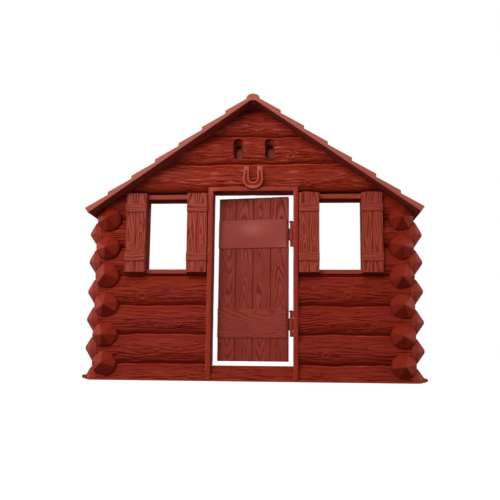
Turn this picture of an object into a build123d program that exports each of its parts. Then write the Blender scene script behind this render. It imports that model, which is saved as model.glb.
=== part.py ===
from build123d import *
import os
from math import atan2, ceil, cos, pi, radians, sin, sqrt, tan

os.makedirs("parts", exist_ok=True)

# Frame of the model, in millimetres: X runs along the cabin front to the viewer's right, Y runs
# from the front to the back, Z is up. The origin lies on the ground, half way along the front and
# half way through the wall.

# Logs of the wall: every log is one pitch high and swells from the grooves to a crest
log_pitch = 16.0
foot_height = 0.9
side_rows = 6
log_crest = 5.0
front_groove = 1.0
rear_groove = 2.6

# Wall panel, with a tongue at each side that enters the corner post
panel_half_width = 74.0
tongue_thickness = 2.4
tongue_length = 4.0
tongue_end_gap = 3.0

# Corner posts: logs of the side walls cross here and stick out at the front and the back
corner_past_panel = 7.0
cross_radius = 6.6
cross_sides = 16
cross_shoulder = 5.3
cross_reach = 11.5
hewn_turn = 23
hewn_start = 8
hewn_drift = 0.5
hewn_fullness = 1.2
hewn_flats = 6
body_past_corner = 6.5
tip_length = 5.8
hewn_shares = (-1.0, -0.7, -0.35, 0.0, 0.35, 0.7, 1.0)
chopped_flat = 0.7

# Roof, seen from the front as two stepped slabs that meet at the ridge
roof_angle = 35.4
roof_over_crossing = 8.84
eave_past_corner = 9.64
apex_flat = 1.55
roof_half_depth = 14.5
courses = 7
course_thick = 3.1
course_thin = 1.6
shingles_per_course = 4
course_lap = 0.6
joint_width = 0.5
joint_depth = 0.45
cap_half_width = 3.75
cap_seat_half = 1.4
cap_edge = 1.3
cap_rise = 2.9
clip_length = 7.0
clip_drop = 4.0
clip_thickness = 1.6
clip_taper = 1.0
clip_places = (0.34, 0.74)

# Doorway and its frame
door_half_width = 22.4
door_sill = 8.4
door_height = 96.2
jamb_width = 2.6
lintel_height = 2.3
frame_front = 6.4
frame_rear = 5.4
jamb_foot_back = 1.0

# Door leaf, hung on the viewer's right and standing a little open, inwards
hinge_gap = 2.5
closing_gap = 2.4
leaf_end_gap = 2.3
leaf_thickness = 2.6
leaf_front = 2.0
leaf_planks = 4
plank_groove = 0.5
plank_groove_depth = 0.45
ajar_angle = 8.3
pivot_behind_leaf = 0.25
barrel_radius = 1.25
pin_radius = 0.7
pin_head_radius = 1.15
pin_head_height = 0.8
lug_thickness = 2.0
hinge_height = 13.6
hinge_knuckle = 6.8
hinge_from_ends = (20.3, 21.3)
band_height = 16.2
band_from_ends = (20.9, 20.9)
band_proud = 0.7
band_short = 0.9
band_peg_x = 14.0

# Windows: a frame pushed in from behind, and a pair of fixed shutters pressed on in front. The
# pair and its window fill the wall between the door frame and the corner.
shutter_from_jamb = 0.35
shutter_from_corner = 2.95
window_rows = 3
window_first_row = 3.5
window_lift = 1.1
window_side = 1.1
sill_bar = 3.0
head_bar = 3.75
bar_front = 1.2
window_frame_front = 4.8
rear_rim = 1.6
rear_rim_thickness = 1.2
rear_head_drop = 0.9
shutter_width = 11.3
shutter_foot_gap = 0.9
shutter_head_gap = 1.5
shutter_thickness = 2.2
batten_width = 11.5
batten_height = 4.5
batten_proud = 0.7
batten_from_ends = (8.5, 8.5)
shutter_peg_rows = (4, 6)
shutter_peg_depth = 3.0

# Horseshoe over the door
shoe_width = 11.1
shoe_top_width = 9.9
shoe_overlap = 1.4
shoe_height = 12.8
shoe_inner_width = 4.7
shoe_inner_rise = 3.7
shoe_thickness = 1.5
shoe_groove = 0.5
shoe_rim = 0.85
heel_height = 2.4
toe_half_width = 2.5
shoe_peg_rise = 8.1
shoe_peg_depth = 2.5

# Loopholes in the gable, narrower towards the back, and the panel that closes them behind
loophole_x = 8.95
loophole_row = 8
loophole_lift = 0.5
loophole_width = 5.1
loophole_height = 11.7
loophole_step = 0.75
loophole_step_depth = 6.0
loophole_top_step = 2.75
backing_above_lintel = 1.1
backing_thickness = 1.5
backing_peg_x = 30.0
backing_peg_rise = 4.9
backing_peg_depth = 3.0

# Foot strip under the wall
strip_half_depth = 6.2
strip_lip = 1.9
strip_lip_length = 1.1
strip_lip_width = 3.0
strip_peg_xs = (-64.0, -38.0, 38.0, 64.0)
strip_peg_height = 5.0

# Pegs and clearances
peg_side = 2.8
small_peg_side = 1.8
fit_gap = 0.1
press_gap = 0.02
running_gap = 0.05
moving_gap = 0.3

# Values that follow from the sizes above
half_pitch = log_pitch / 2
corner_x = panel_half_width + corner_past_panel
log_body_half = corner_x + body_past_corner
log_tip_half = log_body_half + tip_length
strip_half_length = log_tip_half + fit_gap + strip_lip_length
roof_slope = tan(radians(roof_angle))
slope_cos = cos(radians(roof_angle))
slope_sin = sin(radians(roof_angle))
top_crossing = foot_height + (side_rows - 0.5) * log_pitch
roof_apex = top_crossing + roof_over_crossing + roof_slope * corner_x
roof_length = (corner_x + eave_past_corner) / slope_cos
gable_rows = ceil((roof_apex - foot_height) / log_pitch)
door_head = door_sill + door_height
jamb_outer = door_half_width + jamb_width
lintel_top = door_head + lintel_height
leaf_width = 2 * door_half_width - hinge_gap - closing_gap
leaf_bottom = door_sill + leaf_end_gap
leaf_top = door_head - leaf_end_gap
hinge_centres = (leaf_bottom + hinge_from_ends[0], leaf_top - hinge_from_ends[1])
band_centres = (leaf_bottom + band_from_ends[0], leaf_top - band_from_ends[1])
pivot_x = door_half_width - hinge_gap / 2
pivot_y = leaf_thickness - leaf_front - pivot_behind_leaf
window_space = panel_half_width - jamb_outer - shutter_from_jamb - shutter_from_corner
window_half_width = window_space / 2 - shutter_width
window_centre = jamb_outer + shutter_from_jamb + shutter_width + window_half_width
window_bottom = foot_height + window_first_row * log_pitch + window_lift
window_top = foot_height + (window_first_row + window_rows) * log_pitch
window_sill = window_bottom + sill_bar + fit_gap
window_head = window_top - head_bar - fit_gap
shutter_bottom = window_bottom + shutter_foot_gap
shutter_top = window_top - shutter_head_gap
batten_centres = (shutter_bottom + batten_from_ends[0], shutter_top - batten_from_ends[1])
shoe_bottom = lintel_top - shoe_overlap
shoe_top = shoe_bottom + shoe_height
shoe_inner_bottom = shoe_bottom + shoe_inner_rise
shoe_peg_z = shoe_bottom + shoe_peg_rise
loophole_z = foot_height + loophole_row * log_pitch + loophole_lift
window_rim_top = window_top - fit_gap + rear_rim
backing_bottom = max(lintel_top, window_rim_top) + backing_above_lintel
top_log = foot_height + (gable_rows - 1) * log_pitch
low_peg_z = backing_bottom + backing_peg_rise
backing_pegs = ((-backing_peg_x, low_peg_z), (backing_peg_x, low_peg_z), (0, top_log))


def row_height(row):
    """Height of the axis of a wall log; row 0 is the half log that stands on the foot."""
    return foot_height + row * log_pitch


def crossing_height(row):
    """Height of the axis of a crossing log, half a pitch above the wall log of its row."""
    return row_height(row) + half_pitch


def face_depth(height, groove):
    """Depth of a log's face at a height above or below its axis, measured from mid-wall."""
    swell = log_crest - groove
    bow = (half_pitch**2 + swell**2) / (2 * swell)
    return log_crest - bow + sqrt(bow**2 - height**2)


def under_roof(x):
    """Height of the roof's underside at a distance from the middle."""
    return roof_apex - roof_slope * abs(x)


def roof_point(down, up):
    """Point of the roof's section: a way down the slope, and a height square to it."""
    return (down * slope_cos + up * slope_sin, roof_apex - down * slope_sin + up * slope_cos)


def height_on(low_end, high_end, x):
    """Height at which the straight line through two points of the roof's section passes x."""
    share = (low_end[0] - x) / (low_end[0] - high_end[0])
    return low_end[1] + share * (high_end[1] - low_end[1])


def flat_heights():
    """Heights, above and below a log's axis, where the flats of a hewn log end meet."""
    return [half_pitch * share for share in hewn_shares]


def log_wall(left, right, hewn=False):
    """Stack of logs between two places in X, rounded or, beside the corners, hewn to flats."""
    with BuildPart() as stack:
        with BuildSketch(Plane.YZ.offset(left)):
            with BuildLine():
                for side, groove in ((-1, front_groove), (1, rear_groove)):
                    for row in range(gable_rows + 1):
                        lowest = 0 if row == 0 else -half_pitch
                        if hewn:
                            face = [
                                (side * face_depth(height, groove), row_height(row) + height)
                                for height in flat_heights()
                                if height >= lowest
                            ]
                            Polyline(*face)
                        else:
                            middle = (lowest + half_pitch) / 2 if row == 0 else 0
                            ThreePointArc(
                                (side * face_depth(lowest, groove), row_height(row) + lowest),
                                (side * face_depth(middle, groove), row_height(row) + middle),
                                (side * groove, row_height(row + 0.5)),
                            )
                Line((-log_crest, row_height(0)), (log_crest, row_height(0)))
                top = row_height(gable_rows + 0.5)
                Line((-front_groove, top), (rear_groove, top))
            make_face()
        extrude(amount=right - left)
        with BuildSketch(Plane.XZ):
            with BuildLine():
                Polyline(
                    (-log_body_half, 0),
                    (-log_body_half, under_roof(log_body_half)),
                    (-apex_flat, under_roof(apex_flat)),
                    (apex_flat, under_roof(apex_flat)),
                    (log_body_half, under_roof(log_body_half)),
                    (log_body_half, 0),
                    close=True,
                )
            make_face()
        extrude(amount=2 * log_crest, both=True, mode=Mode.INTERSECT)
    return stack.part


def hewn_crossing(row):
    """Crossing log whose ends are each hewn with six flats that meet in a blunt point."""
    turn = hewn_turn * row + hewn_start
    drift = hewn_drift * sin(2 * row + 1)
    chopped_apothem = chopped_flat * cos(pi / hewn_flats)
    full_apothem = hewn_fullness * cross_radius * cos(pi / hewn_flats)
    slope = atan2(full_apothem - chopped_apothem, cross_reach - cross_shoulder)
    with BuildPart() as hewn:
        with BuildSketch(Plane.XZ.offset(-cross_reach)):
            RegularPolygon(radius=cross_radius, side_count=cross_sides)
        extrude(amount=2 * cross_reach)
        for end in (-1, 1):
            for flat in range(hewn_flats):
                angle = radians(turn) + 2 * pi * (flat + 0.5) / hewn_flats
                outward = Vector(cos(angle), 0, sin(angle))
                start = Vector(drift, end * cross_reach, -drift) + outward * chopped_apothem
                facing = outward * cos(slope) + Vector(0, end * sin(slope), 0)
                split(bisect_by=Plane(origin=start, z_dir=facing), keep=Keep.BOTTOM)
    return hewn.part


def hewn_tip(row, side):
    """End of a wall log: the log's outline cut by two pairs of flats to a blunt point."""
    lift = hewn_drift * sin(2 * row + side)
    front = [(-face_depth(height, front_groove), height) for height in reversed(flat_heights())]
    back = [(face_depth(height, rear_groove), height) for height in flat_heights()]
    start = side * log_body_half
    end = side * log_tip_half
    with BuildPart() as tip:
        with BuildSketch(Plane.YZ.offset(start)):
            with BuildLine():
                Polyline(*front, *back, close=True)
            make_face()
        extrude(amount=side * tip_length)
        with BuildSketch(Plane.XZ):
            with BuildLine():
                Polyline(
                    (start, half_pitch),
                    (end, lift + chopped_flat),
                    (end, lift - chopped_flat),
                    (start, -half_pitch),
                    close=True,
                )
            make_face()
        extrude(amount=2 * log_crest, both=True, mode=Mode.INTERSECT)
        with BuildSketch(Plane.XY):
            with BuildLine():
                Polyline(
                    (start, -log_crest),
                    (end, -chopped_flat),
                    (end, chopped_flat),
                    (start, log_crest),
                    close=True,
                )
            make_face()
        extrude(amount=log_pitch, both=True, mode=Mode.INTERSECT)
    return tip.part


def corner_post(side):
    """Corner moulding: the last stretch of the wall logs with their tips, and the crossing logs."""
    inner = side * panel_half_width
    outer = side * log_body_half
    with BuildPart() as post:
        add(log_wall(min(inner, outer), max(inner, outer), hewn=True))
        for row in range(side_rows):
            with Locations((side * corner_x, 0, crossing_height(row))):
                add(hewn_crossing(row))
            with Locations((0, 0, row_height(row))):
                add(hewn_tip(row, side))
        # Slot that takes the tongue of the wall panel
        slot_mid = (rear_groove - front_groove) / 2
        slot_length = tongue_length + fit_gap
        slot_height = crossing_height(side_rows - 1) - tongue_end_gap + fit_gap
        with Locations((inner + side * slot_length / 2, slot_mid, slot_height / 2)):
            Box(slot_length, tongue_thickness + 2 * fit_gap, slot_height, mode=Mode.SUBTRACT)
        # Flat underside, level with the foot strip
        with Locations((side * corner_x, 0, foot_height / 2 - half_pitch)):
            Box(4 * cross_radius, 4 * cross_reach, foot_height + log_pitch, mode=Mode.SUBTRACT)
    return post.part


def shutter(centre):
    """Shutter of two planks with two wider raised battens, and two pegs behind."""
    front = log_crest + shutter_thickness
    height = shutter_top - shutter_bottom
    middle = (shutter_top + shutter_bottom) / 2
    with BuildPart() as board:
        with BuildSketch(Plane.XZ.offset(front)):
            with Locations((centre, middle)):
                Rectangle(shutter_width, height)
        extrude(amount=-shutter_thickness)
        with BuildSketch(Plane.XZ.offset(front)):
            with Locations((centre, middle)):
                Rectangle(plank_groove, height)
        extrude(amount=-plank_groove_depth, mode=Mode.SUBTRACT)
        with BuildSketch(Plane.XZ.offset(front + batten_proud)):
            with Locations(*[(centre, z) for z in batten_centres]):
                Rectangle(batten_width, batten_height)
        extrude(amount=-(batten_proud + shutter_thickness))
        with BuildSketch(Plane.XZ.offset(log_crest)):
            with Locations(*[(centre, row_height(row)) for row in shutter_peg_rows]):
                Rectangle(peg_side, peg_side)
        extrude(amount=-shutter_peg_depth)
    return board.part


def window_frame(centre):
    """Window frame: two side cheeks, deep-set head and sill bars, and a rim behind, lower at the
    head."""
    outer_half = window_half_width + window_side
    frame_bottom = window_bottom + fit_gap
    frame_top = window_top - fit_gap
    middle = (frame_top + frame_bottom) / 2
    height = frame_top - frame_bottom
    with BuildPart() as frame:
        with BuildSketch(Plane.XZ.offset(window_frame_front)):
            for side in (-1, 1):
                with Locations((centre + side * (window_half_width + window_side / 2), middle)):
                    Rectangle(window_side, height)
        extrude(amount=-window_frame_front - log_crest)
        with BuildSketch(Plane.XZ.offset(bar_front)):
            with Locations((centre, middle)):
                Rectangle(2 * outer_half, height)
            with Locations((centre, (window_head + window_sill) / 2)):
                Rectangle(2 * window_half_width, window_head - window_sill, mode=Mode.SUBTRACT)
        extrude(amount=-bar_front - log_crest)
        with BuildSketch(Plane.XZ.offset(-log_crest)):
            with Locations((centre, middle)):
                Rectangle(2 * (outer_half + rear_rim), height + 2 * rear_rim)
            rear_head = window_head - rear_head_drop
            with Locations((centre, (rear_head + window_sill) / 2)):
                Rectangle(2 * window_half_width, rear_head - window_sill, mode=Mode.SUBTRACT)
        extrude(amount=-rear_rim_thickness)
    return frame.part


def hinge_place(depth, height=0.0):
    """Upright plane facing the viewer that turns with the leaf, at a depth behind the hinge axis."""
    swing = Plane(origin=(pivot_x, pivot_y, height)).rotated((0, 0, -ajar_angle))
    corner = swing.from_local_coords((0, depth, 0))
    return Plane(origin=corner, x_dir=swing.x_dir, z_dir=-swing.y_dir)


def door_band(centre):
    """Broad hinge band across the leaf, with two pegs into it."""
    face = hinge_place(-pivot_y - leaf_front)
    far_edge = -hinge_gap / 2 - leaf_width
    width = leaf_width - band_short
    middle = far_edge + width / 2
    with BuildPart() as band:
        with BuildSketch(face):
            with Locations((middle, centre)):
                Rectangle(width, band_height)
        extrude(amount=band_proud)
        with BuildSketch(face):
            leaf_middle = far_edge + leaf_width / 2
            with Locations(*[(leaf_middle + x, centre) for x in (-band_peg_x, band_peg_x)]):
                Rectangle(small_peg_side, small_peg_side)
        extrude(amount=-leaf_thickness / 2)
    return band.part


def hinge_pin(centre):
    """Straight pin with a flat head, pressed into the lugs of the frame."""
    low = centre - hinge_height / 2
    with BuildPart() as pin:
        with BuildSketch(Plane.XY.offset(low)):
            with Locations((pivot_x, pivot_y)):
                Circle(pin_radius)
        extrude(amount=hinge_height)
        with BuildSketch(Plane.XY.offset(low + hinge_height)):
            with Locations((pivot_x, pivot_y)):
                Circle(pin_head_radius)
        extrude(amount=pin_head_height)
    return pin.part


def roof_half(side):
    """Half of the roof: seven stepped courses of shingles, with joints and two clips behind."""
    course = roof_length / courses
    thick_ends = [roof_point(roof_length, course_thick)]
    for number in range(1, courses):
        thick_ends.append(roof_point(roof_length - number * course + course_lap, course_thick))
    # Each course runs up to the upright lower end of the next one, the last to the ridge cap
    stops = [thick_end[0] for thick_end in thick_ends[1:]] + [cap_seat_half]
    steps = []
    for number, (thick_end, stop) in enumerate(zip(thick_ends, stops)):
        meeting = roof_point(roof_length - (number + 1) * course, course_thin)
        steps.append((thick_end, (stop, height_on(thick_end, meeting, stop))))
    seat_z = steps[-1][1][1]
    corners = [(0, under_roof(apex_flat)), (apex_flat, under_roof(apex_flat))]
    corners.append(roof_point(roof_length, 0))
    for thick_end, thin_end in steps:
        corners += [thick_end, thin_end]
    corners.append((0, seat_z))
    with BuildPart() as slab:
        with BuildSketch(Plane.XZ.offset(-roof_half_depth)):
            with BuildLine():
                Polyline(*[(side * x, z) for x, z in corners], close=True)
            make_face()
        extrude(amount=2 * roof_half_depth)
        # Joints between the shingles, staggered from course to course
        shingle = 2 * roof_half_depth / shingles_per_course
        for number, (thick_end, thin_end) in enumerate(steps):
            staggered = number % 2
            notch = [
                (thin_end[0], thin_end[1] + joint_depth),
                (thin_end[0], thin_end[1] - joint_depth),
                (thick_end[0], thick_end[1] - joint_depth),
                (thick_end[0] + 2 * joint_depth, thick_end[1] - joint_depth),
                (thick_end[0] + 2 * joint_depth, thick_end[1] + joint_depth),
            ]
            for place in range(1, shingles_per_course + staggered):
                y = -roof_half_depth + shingle * (place - staggered / 2)
                with BuildSketch(Plane.XZ.offset(-y - joint_width / 2)):
                    with BuildLine():
                        Polyline(*[(side * x, z) for x, z in notch], close=True)
                    make_face()
                extrude(amount=joint_width, mode=Mode.SUBTRACT)
        # Clips that hold the slab behind the gable
        clip_front = log_crest + backing_thickness + fit_gap
        for share in clip_places:
            down = share * roof_length
            tooth = [
                roof_point(down, course_thin / 2),
                roof_point(down + clip_length, course_thin / 2),
                roof_point(down + clip_length - clip_taper, -clip_drop),
                roof_point(down + clip_taper, -clip_drop),
            ]
            with BuildSketch(Plane.XZ.offset(-clip_front - clip_thickness)):
                with BuildLine():
                    Polyline(*[(side * x, z) for x, z in tooth], close=True)
                make_face()
            extrude(amount=clip_thickness)
    return slab.part, seat_z, steps[-1]


# Wall panel with its doorway, window holes and loopholes
with BuildPart() as front_wall:
    add(log_wall(-panel_half_width, panel_half_width))
    tongue_top = crossing_height(side_rows - 1) - tongue_end_gap
    tongue_mid = (rear_groove - front_groove) / 2
    for side in (-1, 1):
        tongue_x = side * (panel_half_width + tongue_length / 2 - 0.5)
        with Locations((tongue_x, tongue_mid, (tongue_top + foot_height) / 2)):
            Box(tongue_length + 1, tongue_thickness, tongue_top - foot_height)
    # Doorway: the opening, and the two rebates in front for the feet of the jambs
    with BuildSketch(Plane.XZ):
        with Locations((0, (lintel_top + fit_gap + door_sill) / 2)):
            Rectangle(2 * (jamb_outer + fit_gap), lintel_top + fit_gap - door_sill)
    extrude(amount=2 * log_crest, both=True, mode=Mode.SUBTRACT)
    with BuildSketch(Plane.XZ.offset(jamb_foot_back - fit_gap)):
        for side in (-1, 1):
            with Locations((side * (jamb_outer - jamb_width / 2), door_sill / 2)):
                Rectangle(jamb_width + 2 * fit_gap, door_sill + 1)
    extrude(amount=2 * log_crest, mode=Mode.SUBTRACT)
    # Window holes
    with BuildSketch(Plane.XZ):
        for side in (-1, 1):
            with Locations((side * window_centre, (window_top + window_bottom) / 2)):
                hole_half = window_half_width + window_side + fit_gap
                Rectangle(2 * hole_half, window_top - window_bottom)
    extrude(amount=2 * log_crest, both=True, mode=Mode.SUBTRACT)
    # Loopholes, stepped in part of the way through
    with BuildSketch(Plane.XZ.offset(2 * log_crest)):
        with Locations((-loophole_x, loophole_z), (loophole_x, loophole_z)):
            SlotOverall(loophole_height, loophole_width, rotation=90)
    extrude(amount=-(log_crest + loophole_step_depth), mode=Mode.SUBTRACT)
    with BuildSketch(Plane.XZ):
        inner_height = loophole_height - loophole_step - loophole_top_step
        inner_z = loophole_z + (loophole_step - loophole_top_step) / 2
        with Locations((-loophole_x, inner_z), (loophole_x, inner_z)):
            SlotOverall(inner_height, loophole_width - 2 * loophole_step, rotation=90)
    extrude(amount=2 * log_crest, both=True, mode=Mode.SUBTRACT)
    # Peg holes: shutters, horseshoe and gable backing
    peg_hole = peg_side + 2 * press_gap
    shutter_xs = []
    for side in (-1, 1):
        for edge in (-1, 1):
            away = window_half_width + shutter_width / 2
            shutter_xs.append(side * window_centre + edge * away)
    with BuildSketch(Plane.XZ.offset(2 * log_crest)):
        for x in shutter_xs:
            with Locations(*[(x, row_height(row)) for row in shutter_peg_rows]):
                Rectangle(peg_hole, peg_hole)
    extrude(amount=-(log_crest + shutter_peg_depth + fit_gap), mode=Mode.SUBTRACT)
    shoe_peg_x = (shoe_width + shoe_inner_width) / 4
    with BuildSketch(Plane.XZ.offset(2 * log_crest)):
        with Locations((-shoe_peg_x, shoe_peg_z), (shoe_peg_x, shoe_peg_z)):
            Rectangle(small_peg_side + 2 * press_gap, small_peg_side + 2 * press_gap)
    extrude(amount=-(log_crest + shoe_peg_depth + fit_gap), mode=Mode.SUBTRACT)
    with BuildSketch(Plane.XZ.offset(-2 * log_crest)):
        with Locations(*backing_pegs):
            Rectangle(peg_hole, peg_hole)
    extrude(amount=log_crest + backing_peg_depth + fit_gap, mode=Mode.SUBTRACT)
    # Sockets in the underside for the pegs of the foot strip
    with BuildSketch(Plane.XY.offset(foot_height)):
        with Locations(*[(x, 0) for x in strip_peg_xs]):
            Rectangle(peg_hole, peg_hole)
    extrude(amount=strip_peg_height + fit_gap, mode=Mode.SUBTRACT)
front_wall.part.label = "front_wall"

left_corner_post = corner_post(-1)
right_corner_post = corner_post(1)

# Foot strip with pegs, and a small upturned lip at each end
with BuildPart() as foot_strip:
    with BuildSketch():
        with BuildLine():
            Polyline(
                (-strip_half_length, -strip_lip_width / 2),
                (-log_body_half, -strip_half_depth),
                (log_body_half, -strip_half_depth),
                (strip_half_length, -strip_lip_width / 2),
                (strip_half_length, strip_lip_width / 2),
                (log_body_half, strip_half_depth),
                (-log_body_half, strip_half_depth),
                (-strip_half_length, strip_lip_width / 2),
                close=True,
            )
        make_face()
    extrude(amount=foot_height)
    for side in (-1, 1):
        lip_x = side * (strip_half_length - strip_lip_length / 2)
        with Locations((lip_x, 0, foot_height + strip_lip / 2)):
            Box(strip_lip_length, strip_lip_width, strip_lip)
    with BuildSketch(Plane.XY.offset(foot_height)):
        with Locations(*[(x, 0) for x in strip_peg_xs]):
            Rectangle(peg_side, peg_side)
    extrude(amount=strip_peg_height)
foot_strip.part.label = "foot_strip"

# Door frame: two jambs and a lintel, with lugs for the hinge pins on the right jamb
with BuildPart() as door_frame:
    with BuildSketch(Plane.XZ.offset(frame_front)):
        with Locations((0, (lintel_top + door_sill) / 2)):
            Rectangle(2 * jamb_outer, lintel_top - door_sill)
        with Locations((0, (door_head + door_sill) / 2)):
            Rectangle(2 * door_half_width, door_head - door_sill, mode=Mode.SUBTRACT)
    extrude(amount=-frame_front - frame_rear)
    with BuildSketch(Plane.XZ.offset(frame_front)):
        for side in (-1, 1):
            with Locations((side * (jamb_outer - jamb_width / 2), (door_sill + foot_height) / 2)):
                Rectangle(jamb_width, door_sill - foot_height)
    extrude(amount=-(frame_front - jamb_foot_back))
    lug_height = (hinge_height - hinge_knuckle) / 2 - moving_gap
    for centre in hinge_centres:
        # Pocket that clears the knuckle of the leaf
        pocket = hinge_knuckle + 2 * moving_gap
        with Locations((pivot_x, pivot_y, centre)):
            Cylinder(barrel_radius + moving_gap, pocket, mode=Mode.SUBTRACT)
        for end in (-1, 1):
            lug_z = centre + end * (hinge_height - lug_height) / 2
            with Locations((pivot_x, pivot_y, lug_z)):
                Cylinder(barrel_radius, lug_height)
            block = door_half_width - pivot_x + 0.5
            with Locations((pivot_x + block / 2, pivot_y, lug_z)):
                Box(block, lug_thickness, lug_height)
            with Locations((pivot_x, pivot_y, lug_z)):
                Cylinder(pin_radius + press_gap, 2 * lug_height, mode=Mode.SUBTRACT)
door_frame.part.label = "door_frame"

# Door leaf of four planks, with two hinge knuckles
with BuildPart() as door_leaf:
    front_face = hinge_place(-pivot_y - leaf_front)
    rear_face = hinge_place(leaf_thickness - pivot_y - leaf_front)
    far_edge = -hinge_gap / 2 - leaf_width
    middle_x = far_edge + leaf_width / 2
    middle_z = (leaf_top + leaf_bottom) / 2
    leaf_height = leaf_top - leaf_bottom
    with BuildSketch(front_face):
        with Locations((middle_x, middle_z)):
            Rectangle(leaf_width, leaf_height)
    extrude(amount=-leaf_thickness)
    plank = leaf_width / leaf_planks
    for face, inward in ((front_face, -1), (rear_face, 1)):
        with BuildSketch(face):
            with Locations(*[(far_edge + plank * n, middle_z) for n in range(1, leaf_planks)]):
                Rectangle(plank_groove, leaf_height)
        extrude(amount=inward * plank_groove_depth, mode=Mode.SUBTRACT)
    # Knuckles, with the leaf cut back round the lugs of the frame
    for centre in hinge_centres:
        relief = barrel_radius + moving_gap
        with BuildSketch(Plane.XY.offset(centre - hinge_height / 2 - moving_gap)):
            with Locations((pivot_x, pivot_y)):
                Circle(relief)
        extrude(amount=hinge_height + pin_head_height + 2 * moving_gap, mode=Mode.SUBTRACT)
        with BuildSketch(Plane.XY.offset(centre - hinge_knuckle / 2)):
            with Locations((pivot_x, pivot_y)):
                Circle(barrel_radius)
        extrude(amount=hinge_knuckle)
        web = hinge_place(-pin_radius - 0.25)
        with BuildSketch(web):
            with Locations((-relief / 2 - 0.5, centre)):
                Rectangle(relief + 1, hinge_knuckle)
        extrude(amount=-(pin_radius + 0.5))
        with BuildSketch(Plane.XY.offset(centre - hinge_knuckle / 2)):
            with Locations((pivot_x, pivot_y)):
                Circle(pin_radius + running_gap)
        extrude(amount=hinge_knuckle, mode=Mode.SUBTRACT)
    # Holes for the pegs of the two bands
    with BuildSketch(front_face):
        for centre in band_centres:
            with Locations(*[(middle_x + x, centre) for x in (-band_peg_x, band_peg_x)]):
                Rectangle(small_peg_side + 2 * press_gap, small_peg_side + 2 * press_gap)
    extrude(amount=-(leaf_thickness / 2 + fit_gap), mode=Mode.SUBTRACT)
door_leaf.part.label = "door_leaf"

lower_door_band, upper_door_band = (door_band(centre) for centre in band_centres)
lower_hinge_pin, upper_hinge_pin = (hinge_pin(centre) for centre in hinge_centres)
left_window_frame = window_frame(-window_centre)
right_window_frame = window_frame(window_centre)
left_outer_shutter, left_inner_shutter, right_inner_shutter, right_outer_shutter = (
    shutter(x) for x in shutter_xs
)

def shoe_outline(inset, top):
    """Horseshoe outline drawn in by an inset, with its arms cut at a height."""
    outer = shoe_width / 2 - inset
    outer_top = shoe_top_width / 2 - inset
    inner = shoe_inner_width / 2 + inset
    bend_z = shoe_bottom + shoe_width / 2
    inner_z = shoe_inner_bottom + shoe_inner_width / 2
    with BuildSketch() as outline:
        with BuildLine():
            Line((-outer_top, top), (-outer, bend_z))
            ThreePointArc((-outer, bend_z), (0, shoe_bottom + inset), (outer, bend_z))
            Line((outer, bend_z), (outer_top, top))
            Line((outer_top, top), (inner, top))
            Line((inner, top), (inner, inner_z))
            ThreePointArc((inner, inner_z), (0, shoe_inner_bottom - inset), (-inner, inner_z))
            Line((-inner, inner_z), (-inner, top))
            Line((-inner, top), (-outer_top, top))
        make_face()
    return outline.sketch


# Horseshoe: raised rims beside a groove, heels and a toe left proud, and two standing pegs
with BuildPart() as horseshoe:
    shoe_back = frame_front + fit_gap
    shoe_front = shoe_back + shoe_thickness
    with BuildSketch(Plane.XZ.offset(shoe_front)):
        add(shoe_outline(0, shoe_top))
    extrude(amount=-shoe_thickness)
    with BuildSketch(Plane.XZ.offset(shoe_front)):
        add(shoe_outline(shoe_rim, shoe_top - heel_height))
        with Locations((0, shoe_bottom)):
            Rectangle(2 * toe_half_width, 4 * shoe_rim, mode=Mode.SUBTRACT)
    extrude(amount=-shoe_groove, mode=Mode.SUBTRACT)
    with BuildSketch(Plane.XZ.offset(shoe_back)):
        with Locations((-shoe_peg_x, shoe_peg_z), (shoe_peg_x, shoe_peg_z)):
            Rectangle(small_peg_side, small_peg_side)
    extrude(amount=-(shoe_back - log_crest + shoe_peg_depth))
horseshoe.part.label = "horseshoe"

# Panel that closes the loopholes and fills the gable behind
with BuildPart() as gable_backing:
    with BuildSketch(Plane.XZ.offset(-log_crest)):
        base_half = (roof_apex - backing_bottom) / roof_slope - fit_gap
        with BuildLine():
            Polyline(
                (-base_half, backing_bottom),
                (base_half, backing_bottom),
                (apex_flat, under_roof(apex_flat) - fit_gap),
                (-apex_flat, under_roof(apex_flat) - fit_gap),
                close=True,
            )
        make_face()
    extrude(amount=-backing_thickness)
    with BuildSketch(Plane.XZ.offset(-log_crest)):
        with Locations(*backing_pegs):
            Rectangle(peg_side, peg_side)
    extrude(amount=backing_peg_depth)
gable_backing.part.label = "gable_backing"

left_roof, cap_seat_z, cap_course = roof_half(-1)
right_roof = roof_half(1)[0]

# Ridge cap: rounded on top, seated on the topmost courses
with BuildPart() as ridge_cap:
    seat_edge = height_on(*cap_course, cap_half_width)
    with BuildSketch(Plane.XZ.offset(-roof_half_depth)):
        with BuildLine():
            Polyline(
                (-cap_half_width, seat_edge + cap_edge),
                (-cap_half_width, seat_edge),
                (-cap_seat_half, cap_seat_z),
                (cap_seat_half, cap_seat_z),
                (cap_half_width, seat_edge),
                (cap_half_width, seat_edge + cap_edge),
            )
            ThreePointArc(
                (cap_half_width, seat_edge + cap_edge),
                (0, roof_apex + cap_rise),
                (-cap_half_width, seat_edge + cap_edge),
            )
        make_face()
    extrude(amount=2 * roof_half_depth)
ridge_cap.part.label = "ridge_cap"

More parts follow.
